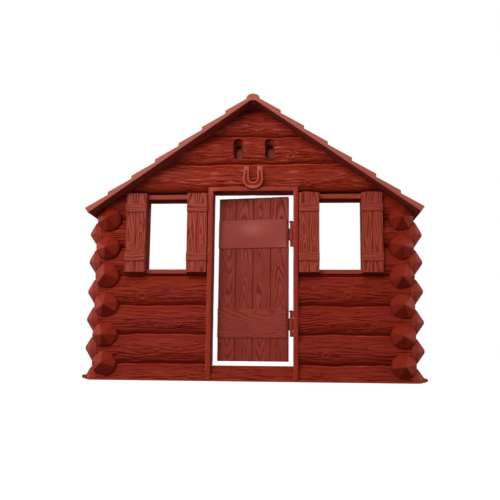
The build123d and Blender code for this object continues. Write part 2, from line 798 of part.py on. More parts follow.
pieces = {
    "front_wall": front_wall.part,
    "left_corner_post": left_corner_post,
    "right_corner_post": right_corner_post,
    "foot_strip": foot_strip.part,
    "door_frame": door_frame.part,
    "door_leaf": door_leaf.part,
    "upper_door_band": upper_door_band,
    "lower_door_band": lower_door_band,
    "upper_hinge_pin": upper_hinge_pin,
    "lower_hinge_pin": lower_hinge_pin,
    "left_window_frame": left_window_frame,
    "right_window_frame": right_window_frame,
    "left_outer_shutter": left_outer_shutter,
    "left_inner_shutter": left_inner_shutter,
    "right_inner_shutter": right_inner_shutter,
    "right_outer_shutter": right_outer_shutter,
    "horseshoe": horseshoe.part,
    "gable_backing": gable_backing.part,
    "left_roof": left_roof,
    "right_roof": right_roof,
    "ridge_cap": ridge_cap.part,
}
for name, piece in pieces.items():
    piece.label = name
    export_step(piece, f"parts/{name}.step")
    box = piece.bounding_box()
    print(name, "volume", round(piece.volume), "size", [round(v, 1) for v in box.size])
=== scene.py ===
# %% [markdown]
# The frame of the model
#
# The imported solids of the toy are loaded first. They give every piece its size and its place, in
# metres, so nothing below has to be fitted by eye. Pieces that need a finer form than a solid can
# hold are made again here as surfaces, and the solids they stand for are hidden.

# %% Load the frame
import bpy
import bmesh
import numpy as np
from math import cos, pi, radians, sin, tan
from mathutils import Matrix, Vector


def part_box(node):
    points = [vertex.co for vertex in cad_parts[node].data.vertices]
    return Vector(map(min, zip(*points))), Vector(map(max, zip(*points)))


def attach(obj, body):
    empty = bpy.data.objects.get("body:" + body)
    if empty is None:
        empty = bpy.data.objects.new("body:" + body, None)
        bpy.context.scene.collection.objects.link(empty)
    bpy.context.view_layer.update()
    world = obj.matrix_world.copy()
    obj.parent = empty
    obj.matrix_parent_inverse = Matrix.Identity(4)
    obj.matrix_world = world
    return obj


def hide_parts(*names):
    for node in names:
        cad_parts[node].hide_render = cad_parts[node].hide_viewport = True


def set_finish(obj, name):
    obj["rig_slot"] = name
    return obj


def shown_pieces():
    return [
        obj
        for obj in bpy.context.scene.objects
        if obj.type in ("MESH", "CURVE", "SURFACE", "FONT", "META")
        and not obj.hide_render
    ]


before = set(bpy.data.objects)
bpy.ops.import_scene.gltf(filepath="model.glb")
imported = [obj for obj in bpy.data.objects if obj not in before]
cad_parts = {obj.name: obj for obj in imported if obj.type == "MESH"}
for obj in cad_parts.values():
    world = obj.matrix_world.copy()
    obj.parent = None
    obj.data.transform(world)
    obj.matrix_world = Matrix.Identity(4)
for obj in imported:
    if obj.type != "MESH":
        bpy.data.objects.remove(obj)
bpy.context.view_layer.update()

# %% [markdown]
# The camera and the studio
#
# The photograph was taken from a little right of the door and low down, looking slightly up. The
# camera could be placed by trial, but its place was worked out from the log ends, the roof and the
# door, so it is written here as a place, two angles and a focal length.

# %% Camera
camera_place = (0.02603, -0.38694, 0.01208)
camera_yaw = radians(4.12)
camera_pitch = radians(8.81)
camera_roll = radians(0.6)
focal_pixels = 703
frame_pixels = 500
film_width = 36.0


def new_object(name, data):
    """Puts a mesh, a lamp or a camera into the scene as an object at the origin."""
    made = bpy.data.objects.new(name, data)
    bpy.context.collection.objects.link(made)
    return made


camera_data = bpy.data.cameras.new("photo_camera")
camera_data.sensor_width = film_width
camera_data.lens = film_width * focal_pixels / frame_pixels
camera_data.clip_start, camera_data.clip_end = 0.01, 20
camera = new_object("photo_camera", camera_data)
turn = Matrix.Rotation(camera_yaw, 4, "Z") @ Matrix.Rotation(pi / 2 + camera_pitch, 4, "X")
turn = turn @ Matrix.Rotation(camera_roll, 4, "Z")
camera.matrix_world = Matrix.Translation(camera_place) @ turn
bpy.context.scene.camera = camera
bpy.context.scene.view_settings.view_transform = "Standard"
print("lens", round(camera_data.lens, 1), "mm")

# %% [markdown]
# Sizes taken from the frame
#
# Every piece below is worked out in millimetres, because the toy is small and its grain is finer
# still, and turned to metres when its mesh is made. The main sizes are read from the solids' boxes,
# so a change of the solids moves the dressing with it.

# %% Sizes
mm = 0.001


def node_box(name):
    """Lowest and highest corner of a solid, in millimetres."""
    low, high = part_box(name)
    return np.array(low) / mm, np.array(high) / mm


wall_low, wall_high = node_box("front_wall")
_, post_high = node_box("right_corner_post")
_, frame_high = node_box("door_frame")
window_low, window_high = node_box("right_window_frame")
_, roof_high = node_box("right_roof")

foot_z, wall_top, crest = wall_low[2], wall_high[2], wall_high[1]
log_pitch = 16.0
half_pitch = log_pitch / 2
rows_to_eaves, gable_rows = 6, 10
# How far the grooves between the logs lie below the crests, in front and behind
front_groove, rear_groove = 1.0, 2.6

tip_x, log_reach = post_high[0], post_high[1]
tip_length, corner_inset, cross_radius = 5.8, 6.5, 6.6
body_x = tip_x - tip_length
corner_x = body_x - corner_inset

# The roof's undersides would meet at the apex, over a small flat on the wall's top
roof_angle = radians(35.4)
apex_half = 1.55
roof_apex = wall_top + apex_half * tan(roof_angle)
print("log pitch", log_pitch, "corner", round(corner_x, 2), "apex", round(roof_apex, 2))


def row_height(row):
    """Height of a wall log's axis, counted from the half log at the foot."""
    return foot_z + row * log_pitch


# %% [markdown]
# Noise that comes out the same every time
#
# Wood grain and hand-cut edges need a wandering value. Blender has noise textures, but the grain
# here has to move vertices, so a small gradient noise is written with numpy, where a whole grid of
# points is worked out in one go.

# %% Gradient noise
def corner_slope(column, row, seed):
    """Random direction at a lattice corner: an integer hash of the corner, read as an angle."""
    mix = column * 374761393 + row * 668265263 + seed * 974634777
    mix = (mix ^ (mix >> 13)) * 1274126177
    angle = ((mix ^ (mix >> 16)) & 0xFFFF) * (2 * pi / 65536)
    return np.cos(angle), np.sin(angle)


def noise(a, b, seed=0):
    """Each lattice corner gives a ramp, corner slope times distance, and the four ramps round a
    point are blended with the smooth weight 6t^5 - 15t^4 + 10t^3. It runs from about -1 to 1."""
    a, b = np.broadcast_arrays(np.asarray(a, float), np.asarray(b, float))
    column, row = np.floor(a).astype(np.int64), np.floor(b).astype(np.int64)
    s, t = a - column, b - row
    total = np.zeros(a.shape)
    for right in (0, 1):
        for up in (0, 1):
            gx, gy = corner_slope(column + right, row + up, seed)
            ws = s if right else 1 - s
            wt = t if up else 1 - t
            ws = ws**3 * (ws * (ws * 6 - 15) + 10)
            wt = wt**3 * (wt * (wt * 6 - 15) + 10)
            total += (gx * (s - right) + gy * (t - up)) * ws * wt
    return total * 1.4


def soft_step(value, start, end):
    """0 before the start, 1 after the end, and the smooth cubic between them."""
    share = np.clip((value - start) / (end - start), 0, 1)
    return share * share * (3 - 2 * share)


print("noise at a point", round(float(noise(0.3, 0.7, 1)), 4))

# %% [markdown]
# Wood grain as a height
#
# The toy's grain was cut into its mould as fine lines that follow each board and flow round its
# knots. A bump map would vanish at the outline and under a low lamp, so the lines are a real height
# here. The field below counts growth rings; a line is cut wherever the count passes a whole number.


# %% Grain
def cut_lines(count, width):
    """1 where the ring count is a whole number, falling to 0 within a width, as a soft V."""
    away = np.abs(count - np.round(count))
    return np.clip(1 - away / width, 0, 1) ** 1.3


def ring_count(across, along, seed, spacing, stretch, heart, knots=()):
    """Growth rings of a sawn board: the distance from its heart line, measured in ring spacings
    across the grain and in much longer ones along it, plus slow noise. Near a knot the count
    changes over to the knot's own round rings."""
    sway = 1.6 * noise(along / 26, across / 30, seed) + 0.5 * noise(along / 9, across / 6, seed + 5)
    x = (across - heart[0]) / spacing + sway
    z = (along - heart[1]) / stretch
    count = np.sqrt(x**2 + z**2 + 0.2) + 0.5 * noise(along / 14, across / 2.5, seed + 9)
    for knot_across, knot_along, size in knots:
        away = np.hypot(across - knot_across, (along - knot_along) / 1.5)
        pull = np.exp(-((away / size) ** 2))
        count = count * (1 - pull) + (away / (0.55 * spacing)) * pull
    return count


def log_bark(along, around, seed, knots=()):
    """Height of a log's cut surface: long lines that wander and fade, a few broad furrows where a
    stretched noise crosses zero, and at each knot a raised ring round a dimple with the lines bent
    past it."""
    line_gap, line_depth, furrow_depth, swell_height = 1.3, 0.4, 0.42, 0.22
    ring_height, dimple_depth = 0.34, 0.42
    bent = around.copy()
    for knot_along, knot_around, size in knots:
        away = np.hypot((along - knot_along) / 1.6, around - knot_around)
        bent += (around - knot_around) * 0.9 * np.exp(-((away / (1.6 * size)) ** 2))
    bent = bent + 0.9 * noise(along / 17, around / 9, seed + 3)
    count = bent / line_gap + 1.5 * noise(along / 24, around / 6, seed)
    count = count + 0.3 * noise(along / 8, around / 3, seed + 7)
    share = np.clip(0.6 + 0.9 * noise(along / 15, around / 2.2, seed + 11), 0.1, 1)
    height = -line_depth * cut_lines(count, 0.42) * share
    coarse = np.abs(noise(along / 32, bent / 2.4, seed + 23))
    height = height - furrow_depth * np.clip(1 - coarse / 0.2, 0, 1) ** 1.3
    height = height + swell_height * noise(along / 20, around / 5, seed + 17)
    for knot_along, knot_around, size in knots:
        away = np.hypot((along - knot_along) / 1.25, around - knot_around)
        ring = np.exp(-(((away - 0.75 * size) / (0.3 * size)) ** 2))
        dimple = np.exp(-((away / (0.38 * size)) ** 2))
        near = np.exp(-((away / (1.1 * size)) ** 4))
        height = height * (1 - 0.8 * near) + ring_height * ring - dimple_depth * dimple
    return height


# %% [markdown]
# Turning grids of points into closed meshes
#
# Most pieces are slabs: a front sheet, a back sheet and walls between them. Making a slab from one
# grid keeps it closed, and a true or false value per cell leaves doorways and windows open.


# %% Mesh from points
def stations(low, high, step, corners=(), round_over=0.0):
    """Places from low to high at most a step apart, exact at each corner, with a few close ones
    beside the corners so that a rounded edge has points to bend through."""
    stops = sorted({low, high, *[c for c in corners if low < c < high]})
    places = []
    for start, end in zip(stops[:-1], stops[1:]):
        count = max(1, int(np.ceil((end - start) / step)))
        places.append(np.linspace(start, end, count + 1))
    if round_over:
        close = np.array([0.08, 0.3, 0.62, 1.0]) * round_over
        for stop in stops:
            places += [stop - close, stop + close]
    places = np.unique(np.round(np.concatenate(places), 4))
    return places[(places >= low) & (places <= high)]


def rounded(distance, radius):
    """How far a surface drops near an edge: a quarter circle of the given radius."""
    inward = np.clip(distance, 0, radius)
    return radius - np.sqrt(radius**2 - (radius - inward) ** 2)


# Each piece carries a per-point tone of painted light: below 1 a painted shade, above 1 a painted
# highlight.
def finished(name, mesh, smooth_angle, **layers):
    """Writes each layer's values, one per point, where the finish reads them, and shades the mesh
    smooth but for edges sharper than the angle. Gives the mesh's object."""
    for layer_name, values in layers.items():
        layer = mesh.attributes.new(layer_name, "FLOAT", "POINT")
        layer.data.foreach_set("value", np.ascontiguousarray(values, np.float32).ravel())
    mesh.shade_smooth()
    mesh.set_sharp_from_angle(angle=radians(smooth_angle))
    return new_object(name, mesh)


def to_mesh(name, points, faces, smooth_angle=40, **layers):
    """Makes an object from points in millimetres and a list of faces."""
    mesh = bpy.data.meshes.new(name)
    mesh.from_pydata((points * mm).tolist(), [], faces)
    mesh.update()
    mesh.validate()
    return finished(name, mesh, smooth_angle, **layers)


def slab(name, front, back, solid, front_relief, back_relief, smooth_angle):
    """Closed slab: a quad per solid cell on the front and on the back sheet, and a quad between
    them along every side of a solid cell that has no solid neighbour. Unused points are dropped."""
    ni, nj = front.shape[:2]
    index = np.arange(ni * nj).reshape(ni, nj)
    behind = index + ni * nj
    a, b, c, d = index[:-1, :-1], index[1:, :-1], index[1:, 1:], index[:-1, 1:]
    e, f, g, h = behind[:-1, :-1], behind[1:, :-1], behind[1:, 1:], behind[:-1, 1:]
    framed = np.pad(solid, 1)
    left, right = solid & ~framed[:-2, 1:-1], solid & ~framed[2:, 1:-1]
    low, high = solid & ~framed[1:-1, :-2], solid & ~framed[1:-1, 2:]
    sheets = [
        (solid, (a, b, c, d)), (solid, (h, g, f, e)),
        (left, (a, d, h, e)), (right, (c, b, f, g)), (low, (b, a, e, f)), (high, (d, c, g, h)),
    ]
    quads = np.concatenate([np.stack([k[cells] for k in corners], 1) for cells, corners in sheets])
    points = np.concatenate([front.reshape(-1, 3), back.reshape(-1, 3)])
    relief = np.concatenate([front_relief.ravel(), back_relief.ravel()])
    used, quads = np.unique(quads, return_inverse=True)
    quads = quads.reshape(-1, 4).tolist()
    return to_mesh(name, points[used], quads, smooth_angle, relief=relief[used])


def closed_tube(name, rings, smooth_angle=40):
    """Closed skin over rings of points: a quad between neighbours, and a fan to a middle point at
    each end. The rings run so that the skin's outside faces out."""
    n, m = rings.shape[:2]
    index = np.arange(n * m).reshape(n, m)
    after = np.roll(index, -1, axis=1)
    quads = np.stack([index[:-1], after[:-1], after[1:], index[1:]], -1).reshape(-1, 4)
    first, last = np.full(m, n * m), np.full(m, n * m + 1)
    fans = np.concatenate([
        np.stack([index[0], first, after[0]], 1), np.stack([index[-1], after[-1], last], 1),
    ])
    points = np.concatenate([rings.reshape(-1, 3), [rings[0].mean(0)], [rings[-1].mean(0)]])
    faces = quads.tolist() + fans.tolist()
    return to_mesh(name, points, faces, smooth_angle, relief=np.ones(len(points)))


def mount(piece, *nodes, body="cabin", finish="red_brown_plastic"):
    """Rides a finished piece on its body, names its finish and hides the solids it stands for."""
    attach(piece, body)
    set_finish(piece, finish)
    if nodes:
        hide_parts(*nodes)
    print(piece.name, len(piece.data.vertices), "points")


# %% [markdown]
# The log wall
#
# On the real toy the wall is one moulding that looks like a stack of hewn logs. Stacking cylinders
# would leave it too regular, and a displacement texture would not stop cleanly at the doorway. So
# the wall is two sheets of points: each log is an arc between two wandering grooves, and the bark
# height is added to it. The grid is bent to the slope of the roof, and its cells stop at the holes.

# %% Where the wall's points lie
door_tuck, window_rim = 0.1, 1.5
wall_split = row_height(rows_to_eaves + 0.5)
door_half = frame_high[0] - door_tuck
door_bottom, door_top = 8.4, frame_high[2] - door_tuck
window_centre = (window_low[0] + window_high[0]) / 2
window_half = (window_high[0] - window_low[0]) / 2 - window_rim
window_bottom, window_top = window_low[2] + window_rim, wall_split
still_half = window_centre + window_half + 0.3


def wall_x(u, z):
    """Straight up to the eaves; above them the stretch outside the windows closes up to stay under
    the roof, and above the doorway every place shrinks in step with the roof's half width."""
    half = np.minimum((roof_apex - z) / tan(roof_angle), body_x)
    half_at_door = (roof_apex - door_top) / tan(roof_angle)
    low_half = np.maximum(half, half_at_door)
    outside = np.abs(u) > still_half
    share = (low_half - still_half) / (body_x - still_half)
    squeezed = still_half + (np.abs(u) - still_half) * share
    low_x = np.where(outside, np.sign(u) * squeezed, u)
    return low_x * np.where(z > door_top, half / half_at_door, 1)


def hole_distance(u, z):
    """Distance to the nearest side of the doorway, a window or the wall's own edge."""
    def outside_box(half, low, high, centre=0.0):
        return np.hypot(
            np.maximum(np.abs(np.abs(u) - centre) - half, 0),
            np.maximum(np.maximum(low - z, z - high), 0),
        )
    holes = np.minimum(
        outside_box(door_half, door_bottom, door_top),
        outside_box(window_half, window_bottom, window_top, window_centre),
    )
    edges = np.minimum(body_x - np.abs(u), np.minimum(z - foot_z, (wall_top - z) * 0.6))
    return np.minimum(holes, np.maximum(edges, 0))


# Knots seen in the photograph, as distance along the log and height over its axis
row_knots = {
    9: [(-17.0, -4.6, 1.3), (2.5, -5.2, 1.0)],
    8: [(-35.0, -5.0, 1.3), (-13.5, -5.3, 1.0), (21.0, -4.2, 1.7), (24.5, -1.8, 1.0)],
    7: [(30.6, -3.8, 1.7), (-37.0, -4.2, 1.3), (52.0, -1.5, 1.2)],
    3: [(-61.0, -3.2, 2.3), (52.0, -2.4, 2.0), (34.0, 1.5, 1.2)],
    2: [(-40.0, -2.0, 1.5), (66.0, -3.5, 1.4)],
    1: [(-52.0, 1.0, 1.3), (40.0, -2.8, 1.7)],
}


def log_arc(height, swell):
    """Depth of a log's face at a height from its axis: a circle through crest and grooves."""
    bow = (half_pitch**2 + swell**2) / (2 * swell)
    return crest - bow + np.sqrt(bow**2 - height**2)


def log_face(x, z, swell, strength, seed):
    """Depth from mid-wall: an arc through the groove, the crest and the next groove, plus bark that
    dies out in the grooves. The second value is the tone of painted light: a painted shade down to
    0 under a log's overhang, in the bark's furrows and a little on the log's upper half; 1 on open
    wood; and above 1 a painted highlight along the log's upper rim and painted glints along the
    grain, strongest in the gable."""
    row = np.clip(np.round((z - foot_z) / log_pitch), 0, gable_rows)
    around = z - row_height(row)
    arc = log_arc(np.clip(around, -half_pitch, half_pitch), swell)
    bark = np.zeros(x.shape)
    for number in range(gable_rows + 1):
        here = row == number
        if here.any():
            height = log_bark(x, around, seed + 13 * number, row_knots.get(number, ()))
            bark = np.where(here, height, bark)
    share = around / half_pitch
    rim = 1 - np.abs(share) ** 6
    lower = 1 + 0.35 * np.clip(-share, 0, 1)
    # Painted shade: the tone falls to 0 towards the bottom of each log, under its overhang.
    under = np.clip((1 + share) / 0.22, 0, 1)
    # Painted highlight: a pale line along each log's upper rim.
    painted_rim_highlight = np.exp(-(((share - 0.965) / 0.05) ** 2))
    # Painted glints: pale streaks along the ridges of the grain, stronger in the gable.
    painted_glint = np.clip(noise(x / 9, around / 0.95, seed + 5) - 0.1, 0, 1)
    painted_glint = painted_glint * np.clip(1 + 2 * bark, 0, 1) * np.where(row > rows_to_eaves, 1.5, 0.7) * under
    # Painted shade: darker in the bark's furrows, under the log and a little on its upper half.
    out_of_shade = np.clip(1 + 0.55 * bark, 0, 1) * under * (1 - 0.12 * np.clip(share, 0, 1))
    return arc + strength * bark * rim * lower, out_of_shade + painted_rim_highlight + painted_glint


# The light in the photograph leaves the wall deeper in tone below the windows' tops
lower_tone, upper_tone, tone_change = 0.7, 0.97, 8.0
front_bark, rear_bark = 1.1, 0.45


def wall_piece(name, left, right, low, high):
    """Slab of logs between two places along the wall and two heights, open at door and windows."""
    sides = ((0, door_half), (window_centre, window_half), (window_centre, -window_half))
    corners_x = [side * (centre + half) for side in (-1, 1) for centre, half in sides]
    u = stations(left, right, 0.75, corners_x)
    z = stations(low, high, 0.32, [door_bottom, door_top, window_bottom, window_top])
    uu, zz = np.meshgrid(u, z, indexing="ij")
    x = wall_x(uu, zz)
    wander = 0.75 * noise(x / 19, zz / 11, 3) + 0.3 * noise(x / 6, zz / 9, 4)
    height = zz + wander * soft_step(hole_distance(uu, zz), 0, 3)
    front_depth, front_relief = log_face(x, zz, crest - front_groove, front_bark, 20)
    back_depth, back_relief = log_face(x, zz, crest - rear_groove, rear_bark, 220)
    raised = np.clip((zz - window_top + tone_change) / tone_change, 0, 1)
    front_relief = front_relief * (lower_tone + (upper_tone - lower_tone) * raised)
    front = np.stack([x, -front_depth, height], -1)
    back = np.stack([x, back_depth, height], -1)
    middle_u = (u[:-1, None] + u[1:, None]) / 2
    middle_z = (z[None, :-1] + z[None, 1:]) / 2
    door = (np.abs(middle_u) < door_half) & (middle_z > door_bottom) & (middle_z < door_top)
    window = np.abs(np.abs(middle_u) - window_centre) < window_half
    window = window & (middle_z > window_bottom) & (middle_z < window_top)
    return slab(name, front, back, ~(door | window), front_relief, back_relief, 60)


# %% Wall pieces
jamb_seam = -23.7
left_wall = wall_piece("left_wall_logs", -body_x, jamb_seam, foot_z, wall_split)
right_wall = wall_piece("right_wall_logs", jamb_seam, body_x, foot_z, wall_split)
gable_wall = wall_piece("gable_logs", -body_x, body_x, wall_split, wall_top)
mount(left_wall, "front_wall")
mount(right_wall)
mount(gable_wall)

# %% [markdown]
# Loopholes
#
# The two loopholes are rounded slots that narrow part of the way in. A grid cannot follow their
# round ends, so they are cut from the finished gable with a Boolean modifier, which is then applied
# by reading the finished mesh back.

# %% Loopholes
loophole_x, loophole_z = 8.95, row_height(8) + 0.85
loophole_half_width, loophole_half_height = 2.55, 6.2
# The inner slot is lower, narrower and shorter than the outer one, and goes right through
inner_lower, inner_narrower, inner_shorter = 1.2, 0.75, 1.95
before_wall, outer_end, behind_wall = -9, 1, 9
around_slot = 48


def slot_cutter(x, z, half_width, half_height, far):
    """Prism with round ends: a half circle above, a half circle below, straight sides between."""
    angle = np.linspace(0, 2 * pi, around_slot, endpoint=False)
    lift = np.sign(np.sin(angle)) * (half_height - half_width)
    px, pz = x + half_width * np.cos(angle), z + half_width * np.sin(angle) + lift
    rings = [np.stack([px, np.full(around_slot, y), pz], -1) for y in (before_wall, far)]
    return closed_tube("slot_cutter", np.stack(rings)[:, ::-1])


def cut_away(piece, cutters):
    """Subtracts each cutter from the piece, keeps the result as plain mesh, drops the cutters."""
    for cutter in cutters:
        change = piece.modifiers.new("cut", "BOOLEAN")
        change.operation, change.solver, change.object = "DIFFERENCE", "EXACT", cutter
    cut_piece = piece.evaluated_get(bpy.context.evaluated_depsgraph_get())
    cut_mesh = bpy.data.meshes.new_from_object(cut_piece)
    piece.modifiers.clear()
    piece.data = cut_mesh
    for cutter in cutters:
        bpy.data.objects.remove(cutter)


loophole_cutters = []
for side in (-1, 1):
    x, width, height = side * loophole_x, loophole_half_width, loophole_half_height
    loophole_cutters += [
        slot_cutter(x, loophole_z, width, height, outer_end),
        slot_cutter(x, loophole_z - inner_lower, width - inner_narrower, height - inner_shorter,
                    behind_wall),
    ]
cut_away(gable_wall, loophole_cutters)
print("gable points after the cut", len(gable_wall.data.vertices))

# %% [markdown]
# Crossing logs and log tips
#
# At both corners the logs of the side walls stick out, and each end is hewn to a blunt point with
# six flats round a small worn one. A cone would be too smooth and a six-sided pyramid too sharp.
# The end's height is the greatest of the sloping planes, joined softly, which leaves worn ridges
# between the flats.


# %% Hewn ends
# Hewn ends: a base tone, with painted shade on downward flats, painted sheen on outward flats and
# painted light on upward flats.
hewn_tone, painted_shade_below, painted_sheen_outside, painted_light_above = 0.57, 0.4, 0.55, 0.15
flats = 6


def facing_shaded(piece, side):
    """Tones hewn flats by the way they face, as painted light and shade: those that look down get a
    painted shade, those that look up a little painted light, and those that look away from the
    house the palest tone, a painted sheen."""
    normals = np.array([v.normal for v in piece.data.vertices])
    down = np.clip(-1.4 * normals[:, 2], 0, 1)
    outward = np.clip(1.6 * side * normals[:, 0] - 0.45, 0, 1) * (1 - 0.7 * down)
    up = np.clip(1.5 * normals[:, 2] - 0.2, 0, 1) * (1 - outward)
    tone = hewn_tone * (1 - painted_shade_below * down) + painted_sheen_outside * outward + painted_light_above * up
    piece.data.attributes["relief"].data.foreach_set("value", tone.astype(np.float32))
    return piece


def soft_greatest(values, sharpness):
    """Smooth maximum over the first axis: the logarithm of the summed exponentials."""
    return np.log(np.sum(np.exp(sharpness * values), axis=0)) / sharpness


def hewn_drop(a, b, turn, slope, seed):
    """How far a hewn end falls from its point: the greatest of several tilted planes, whose
    directions and slopes differ a little, and never less than a small worn flat."""
    spread = np.random.default_rng(seed)
    planes = [np.full(a.shape, 0.35)]
    for number in range(flats):
        angle = turn + 2 * pi * number / flats + spread.uniform(-0.26, 0.26)
        tilt = slope * spread.uniform(0.88, 1.08)
        planes.append(tilt * (a * cos(angle) + b * sin(angle)))
    return soft_greatest(np.array(planes), 13.0)


def crossing_log(name, x, z, seed):
    """Skin from the front point over the rim, along the log and down to the back point. Each half
    of the section is radius against depth; the depth of the ends comes from the hewn flats."""
    angle = np.linspace(0, 2 * pi, 96, endpoint=False)[None, :]
    share = np.concatenate([np.linspace(0.03, 0.9, 20), [0.94, 0.97, 0.99, 1.0]])[:, None]
    radius = cross_radius * (1 + 0.016 * noise(2 * np.cos(angle) + seed, 2 * np.sin(angle), 5))
    half_rings = []
    for end, side in ((0, -1), (1, 1)):
        drift = 0.5 * np.array([np.sin(3.1 * seed + end), np.cos(2.3 * seed + end)])
        px, pz = share * radius * np.cos(angle), -share * radius * np.sin(angle)
        turn = radians(23 * seed + 8 + 31 * end)
        drop = hewn_drop(px - drift[0], pz - drift[1], turn, 0.98, seed + 40 * end)
        drop = drop + 0.5 * rounded((1 - share) * cross_radius, 0.5) - 0.15
        half_rings.append(np.stack([x + px, side * (log_reach - drop), z + pz], -1))
    front, back = half_rings[0], half_rings[1][::-1]
    middle = [front[-1] * (1 - t) + back[0] * t for t in np.linspace(0.02, 0.98, 14)]
    rings = np.concatenate([front, np.array(middle), back])
    way_round = np.arctan2(rings[..., 2] - z, rings[..., 0] - x)
    furrows = 0.10 * noise(rings[..., 1] / 5, 9 * way_round / 2, seed)
    out = rings - np.array([x, 0, z]) * np.array([1, 0, 1])
    out[..., 1] = 0
    size = np.maximum(np.linalg.norm(out, axis=-1, keepdims=True), 1e-6)
    round_side = np.clip((size - 0.9 * cross_radius) / (0.1 * cross_radius), 0, 1)
    rings = rings + out / size * furrows[..., None] * round_side
    return facing_shaded(closed_tube(name, rings, smooth_angle=50), np.sign(x))


def log_tip(name, side, row):
    """End of a wall log: its own outline shrunk towards its middle, while the way out from the post
    grows until a point. The way out is the tip's length less the greatest of the sloping planes."""
    lowest = 0.0 if row == 0 else -half_pitch
    swing = np.linspace(half_pitch, lowest, 30)
    front = [-log_arc(h, crest - front_groove) for h in swing]
    back = [log_arc(h, crest - rear_groove) for h in swing[::-1]]
    outline = np.array([*zip(front, swing), *zip(back, swing[::-1])])
    if row == 0:
        outline[:, 1] = np.maximum(outline[:, 1], 0.02)
    centre = np.array([0.3, 0.0 if row else 0.1])
    share = np.linspace(0.04, 1, 22)[:, None, None]
    section = centre + share * (outline - centre)
    lift = 0.5 * np.sin(2 * row + side)
    spread = np.random.default_rng(100 + 7 * row + side)
    planes = [np.full(section.shape[:2], 0.55)]
    for across, up in ((0, 1), (0, -1), (1, 0.25), (-1, 0.25), (1, -0.5), (-1, -0.5)):
        tilt = (0.86 if across else 0.74) * spread.uniform(0.94, 1.06)
        planes.append(tilt * (across * section[..., 0] + up * (section[..., 1] - lift)))
    drop = soft_greatest(np.array(planes), 10.0)
    upward = row_height(row) + section[..., 1]
    rings = np.stack([side * (tip_x - drop), section[..., 0], upward], -1)
    inner = rings[-1].copy()
    inner[:, 0] = side * (body_x - 2)
    rings = np.concatenate([rings, inner[None]])
    if side > 0:
        rings = rings[::-1]
    return facing_shaded(closed_tube(name, rings, smooth_angle=50), side)


for side, word in ((-1, "left"), (1, "right")):
    for row in range(rows_to_eaves):
        name, seed = f"{word}_crossing_log_{row + 1}", row + 9 * (side > 0)
        end = crossing_log(name, side * corner_x, row_height(row + 0.5), seed)
        mount(end, *([] if row else [f"{word}_corner_post"]))
        mount(log_tip(f"{word}_log_tip_{row + 1}", side, row))

# %% [markdown]
# Boards and bars
#
# Planks, battens, shingles and jambs are all blocks with softened edges and grain on every side. A
# cube with a bevel would have no points for the grain. So a block here is six welded grids, rounded
# by one rule, with a height added along the way out, and then put in place by a small function.


# %% Blocks with grain
X, Y, Z = range(3)


def rounded_block(low, high, step, radius):
    """Closed grid on a box. Each point is pulled to the nearest point of the box shrunk by the
    radius, then pushed out again by the radius, which rounds every edge and corner."""
    low, high = np.array(low, float), np.array(high, float)
    axes = [stations(l, h, s, round_over=radius) for l, h, s in zip(low, high, step)]
    sizes = [len(places) for places in axes]
    quads = []
    for way in range(3):
        u, v = (way + 1) % 3, (way + 2) % 3
        iu, iv = np.meshgrid(np.arange(sizes[u] - 1), np.arange(sizes[v] - 1), indexing="ij")
        for end in (0, sizes[way] - 1):
            ring = []
            for du, dv in ((0, 0), (1, 0), (1, 1), (0, 1)):
                place = {way: np.full(iu.shape, end), u: iu + du, v: iv + dv}
                ring.append((place[0] * sizes[1] + place[1]) * sizes[2] + place[2])
            ring = ring if end else ring[::-1]
            quads.append(np.stack(ring, -1).reshape(-1, 4))
    used, quads = np.unique(np.concatenate(quads), return_inverse=True)
    i, rest = np.divmod(used, sizes[1] * sizes[2])
    j, k = np.divmod(rest, sizes[2])
    points = np.stack([axes[0][i], axes[1][j], axes[2][k]], -1)
    core = np.clip(points, low + radius, high - radius)
    out = points - core
    out = out / np.linalg.norm(out, axis=1, keepdims=True)
    return core + radius * out, quads.reshape(-1, 4), out


def block_piece(name, low, high, step, radius, grain, place):
    """Rounded block whose points move along their way out by the grain's height. The grain gives a
    height and a tone of painted light and shade for points of the block; the place function then
    sets them in the frame."""
    points, quads, out = rounded_block(low, high, step, radius)
    height, relief = grain(points, out)
    sides = np.clip(1.5 * np.abs(out[:, X]) - 0.4, 0, 1)
    points = place(points + out * height[:, None])
    return to_mesh(name, points, quads.tolist(), 55, relief=relief, matte=sides)


def in_place(points):
    """For blocks whose corners are already places in the frame."""
    return points


def board_grain(along, across, seed, spacing, depth, heart=(0, 0), stretch=9.0, knots=(),
                waves=0.06, skin=1.0, groove_shade=0.7):
    """Grain for a board: cut ring lines on the two faces, shallow straight lines on its sides, and
    a slow wave. Along and across name the axes; the third axis is the board's thickness. Skin is
    the tone of uncut plastic, and above 1 a painted sheen on its smooth faces; ink is how far a cut
    is darkened, a painted shade in the cut lines."""
    thick = 3 - along - across

    def grain(points, out):
        faces = np.abs(out[:, thick])
        flip = 40.0 * (out[:, thick] > 0)
        a, b = points[:, across], points[:, along]
        count = ring_count(a, b + flip, seed, spacing, stretch, heart, knots)
        count = count + 0.35 * points[:, thick]
        lines = cut_lines(count, 0.34) * (0.75 + 0.5 * noise(b / 11, a / 3, seed + 3))
        layers = points[:, thick] / (0.8 * spacing) + 0.5 * noise(b / 12, a, seed + 4)
        straight = cut_lines(layers, 0.3)
        cut = lines * faces + 0.45 * straight * (1 - faces)
        wave = waves * (noise(b / 15, a / 4, seed + 6) - 0.8)
        # The cut lines are darkened as painted shade; a skin above 1 is a painted sheen.
        return wave - depth * cut, skin * (1 - groove_shade * np.clip(cut, 0, 1))

    return grain


# %% [markdown]
# Pieces that keep their solid's shape
#
# Door frame, window frames, horseshoe and the like are right as solids, but their edges are knife
# sharp and their long faces dead flat, which no moulding is. Each gets a copy that is merged, cut
# into short stretches so it can waver a little, and bevelled.


# %% Dressed copies
crease, weld = radians(35), 1e-6
cut_pitch = (2.5, 60.0, 2.5)
waver_seed = 7


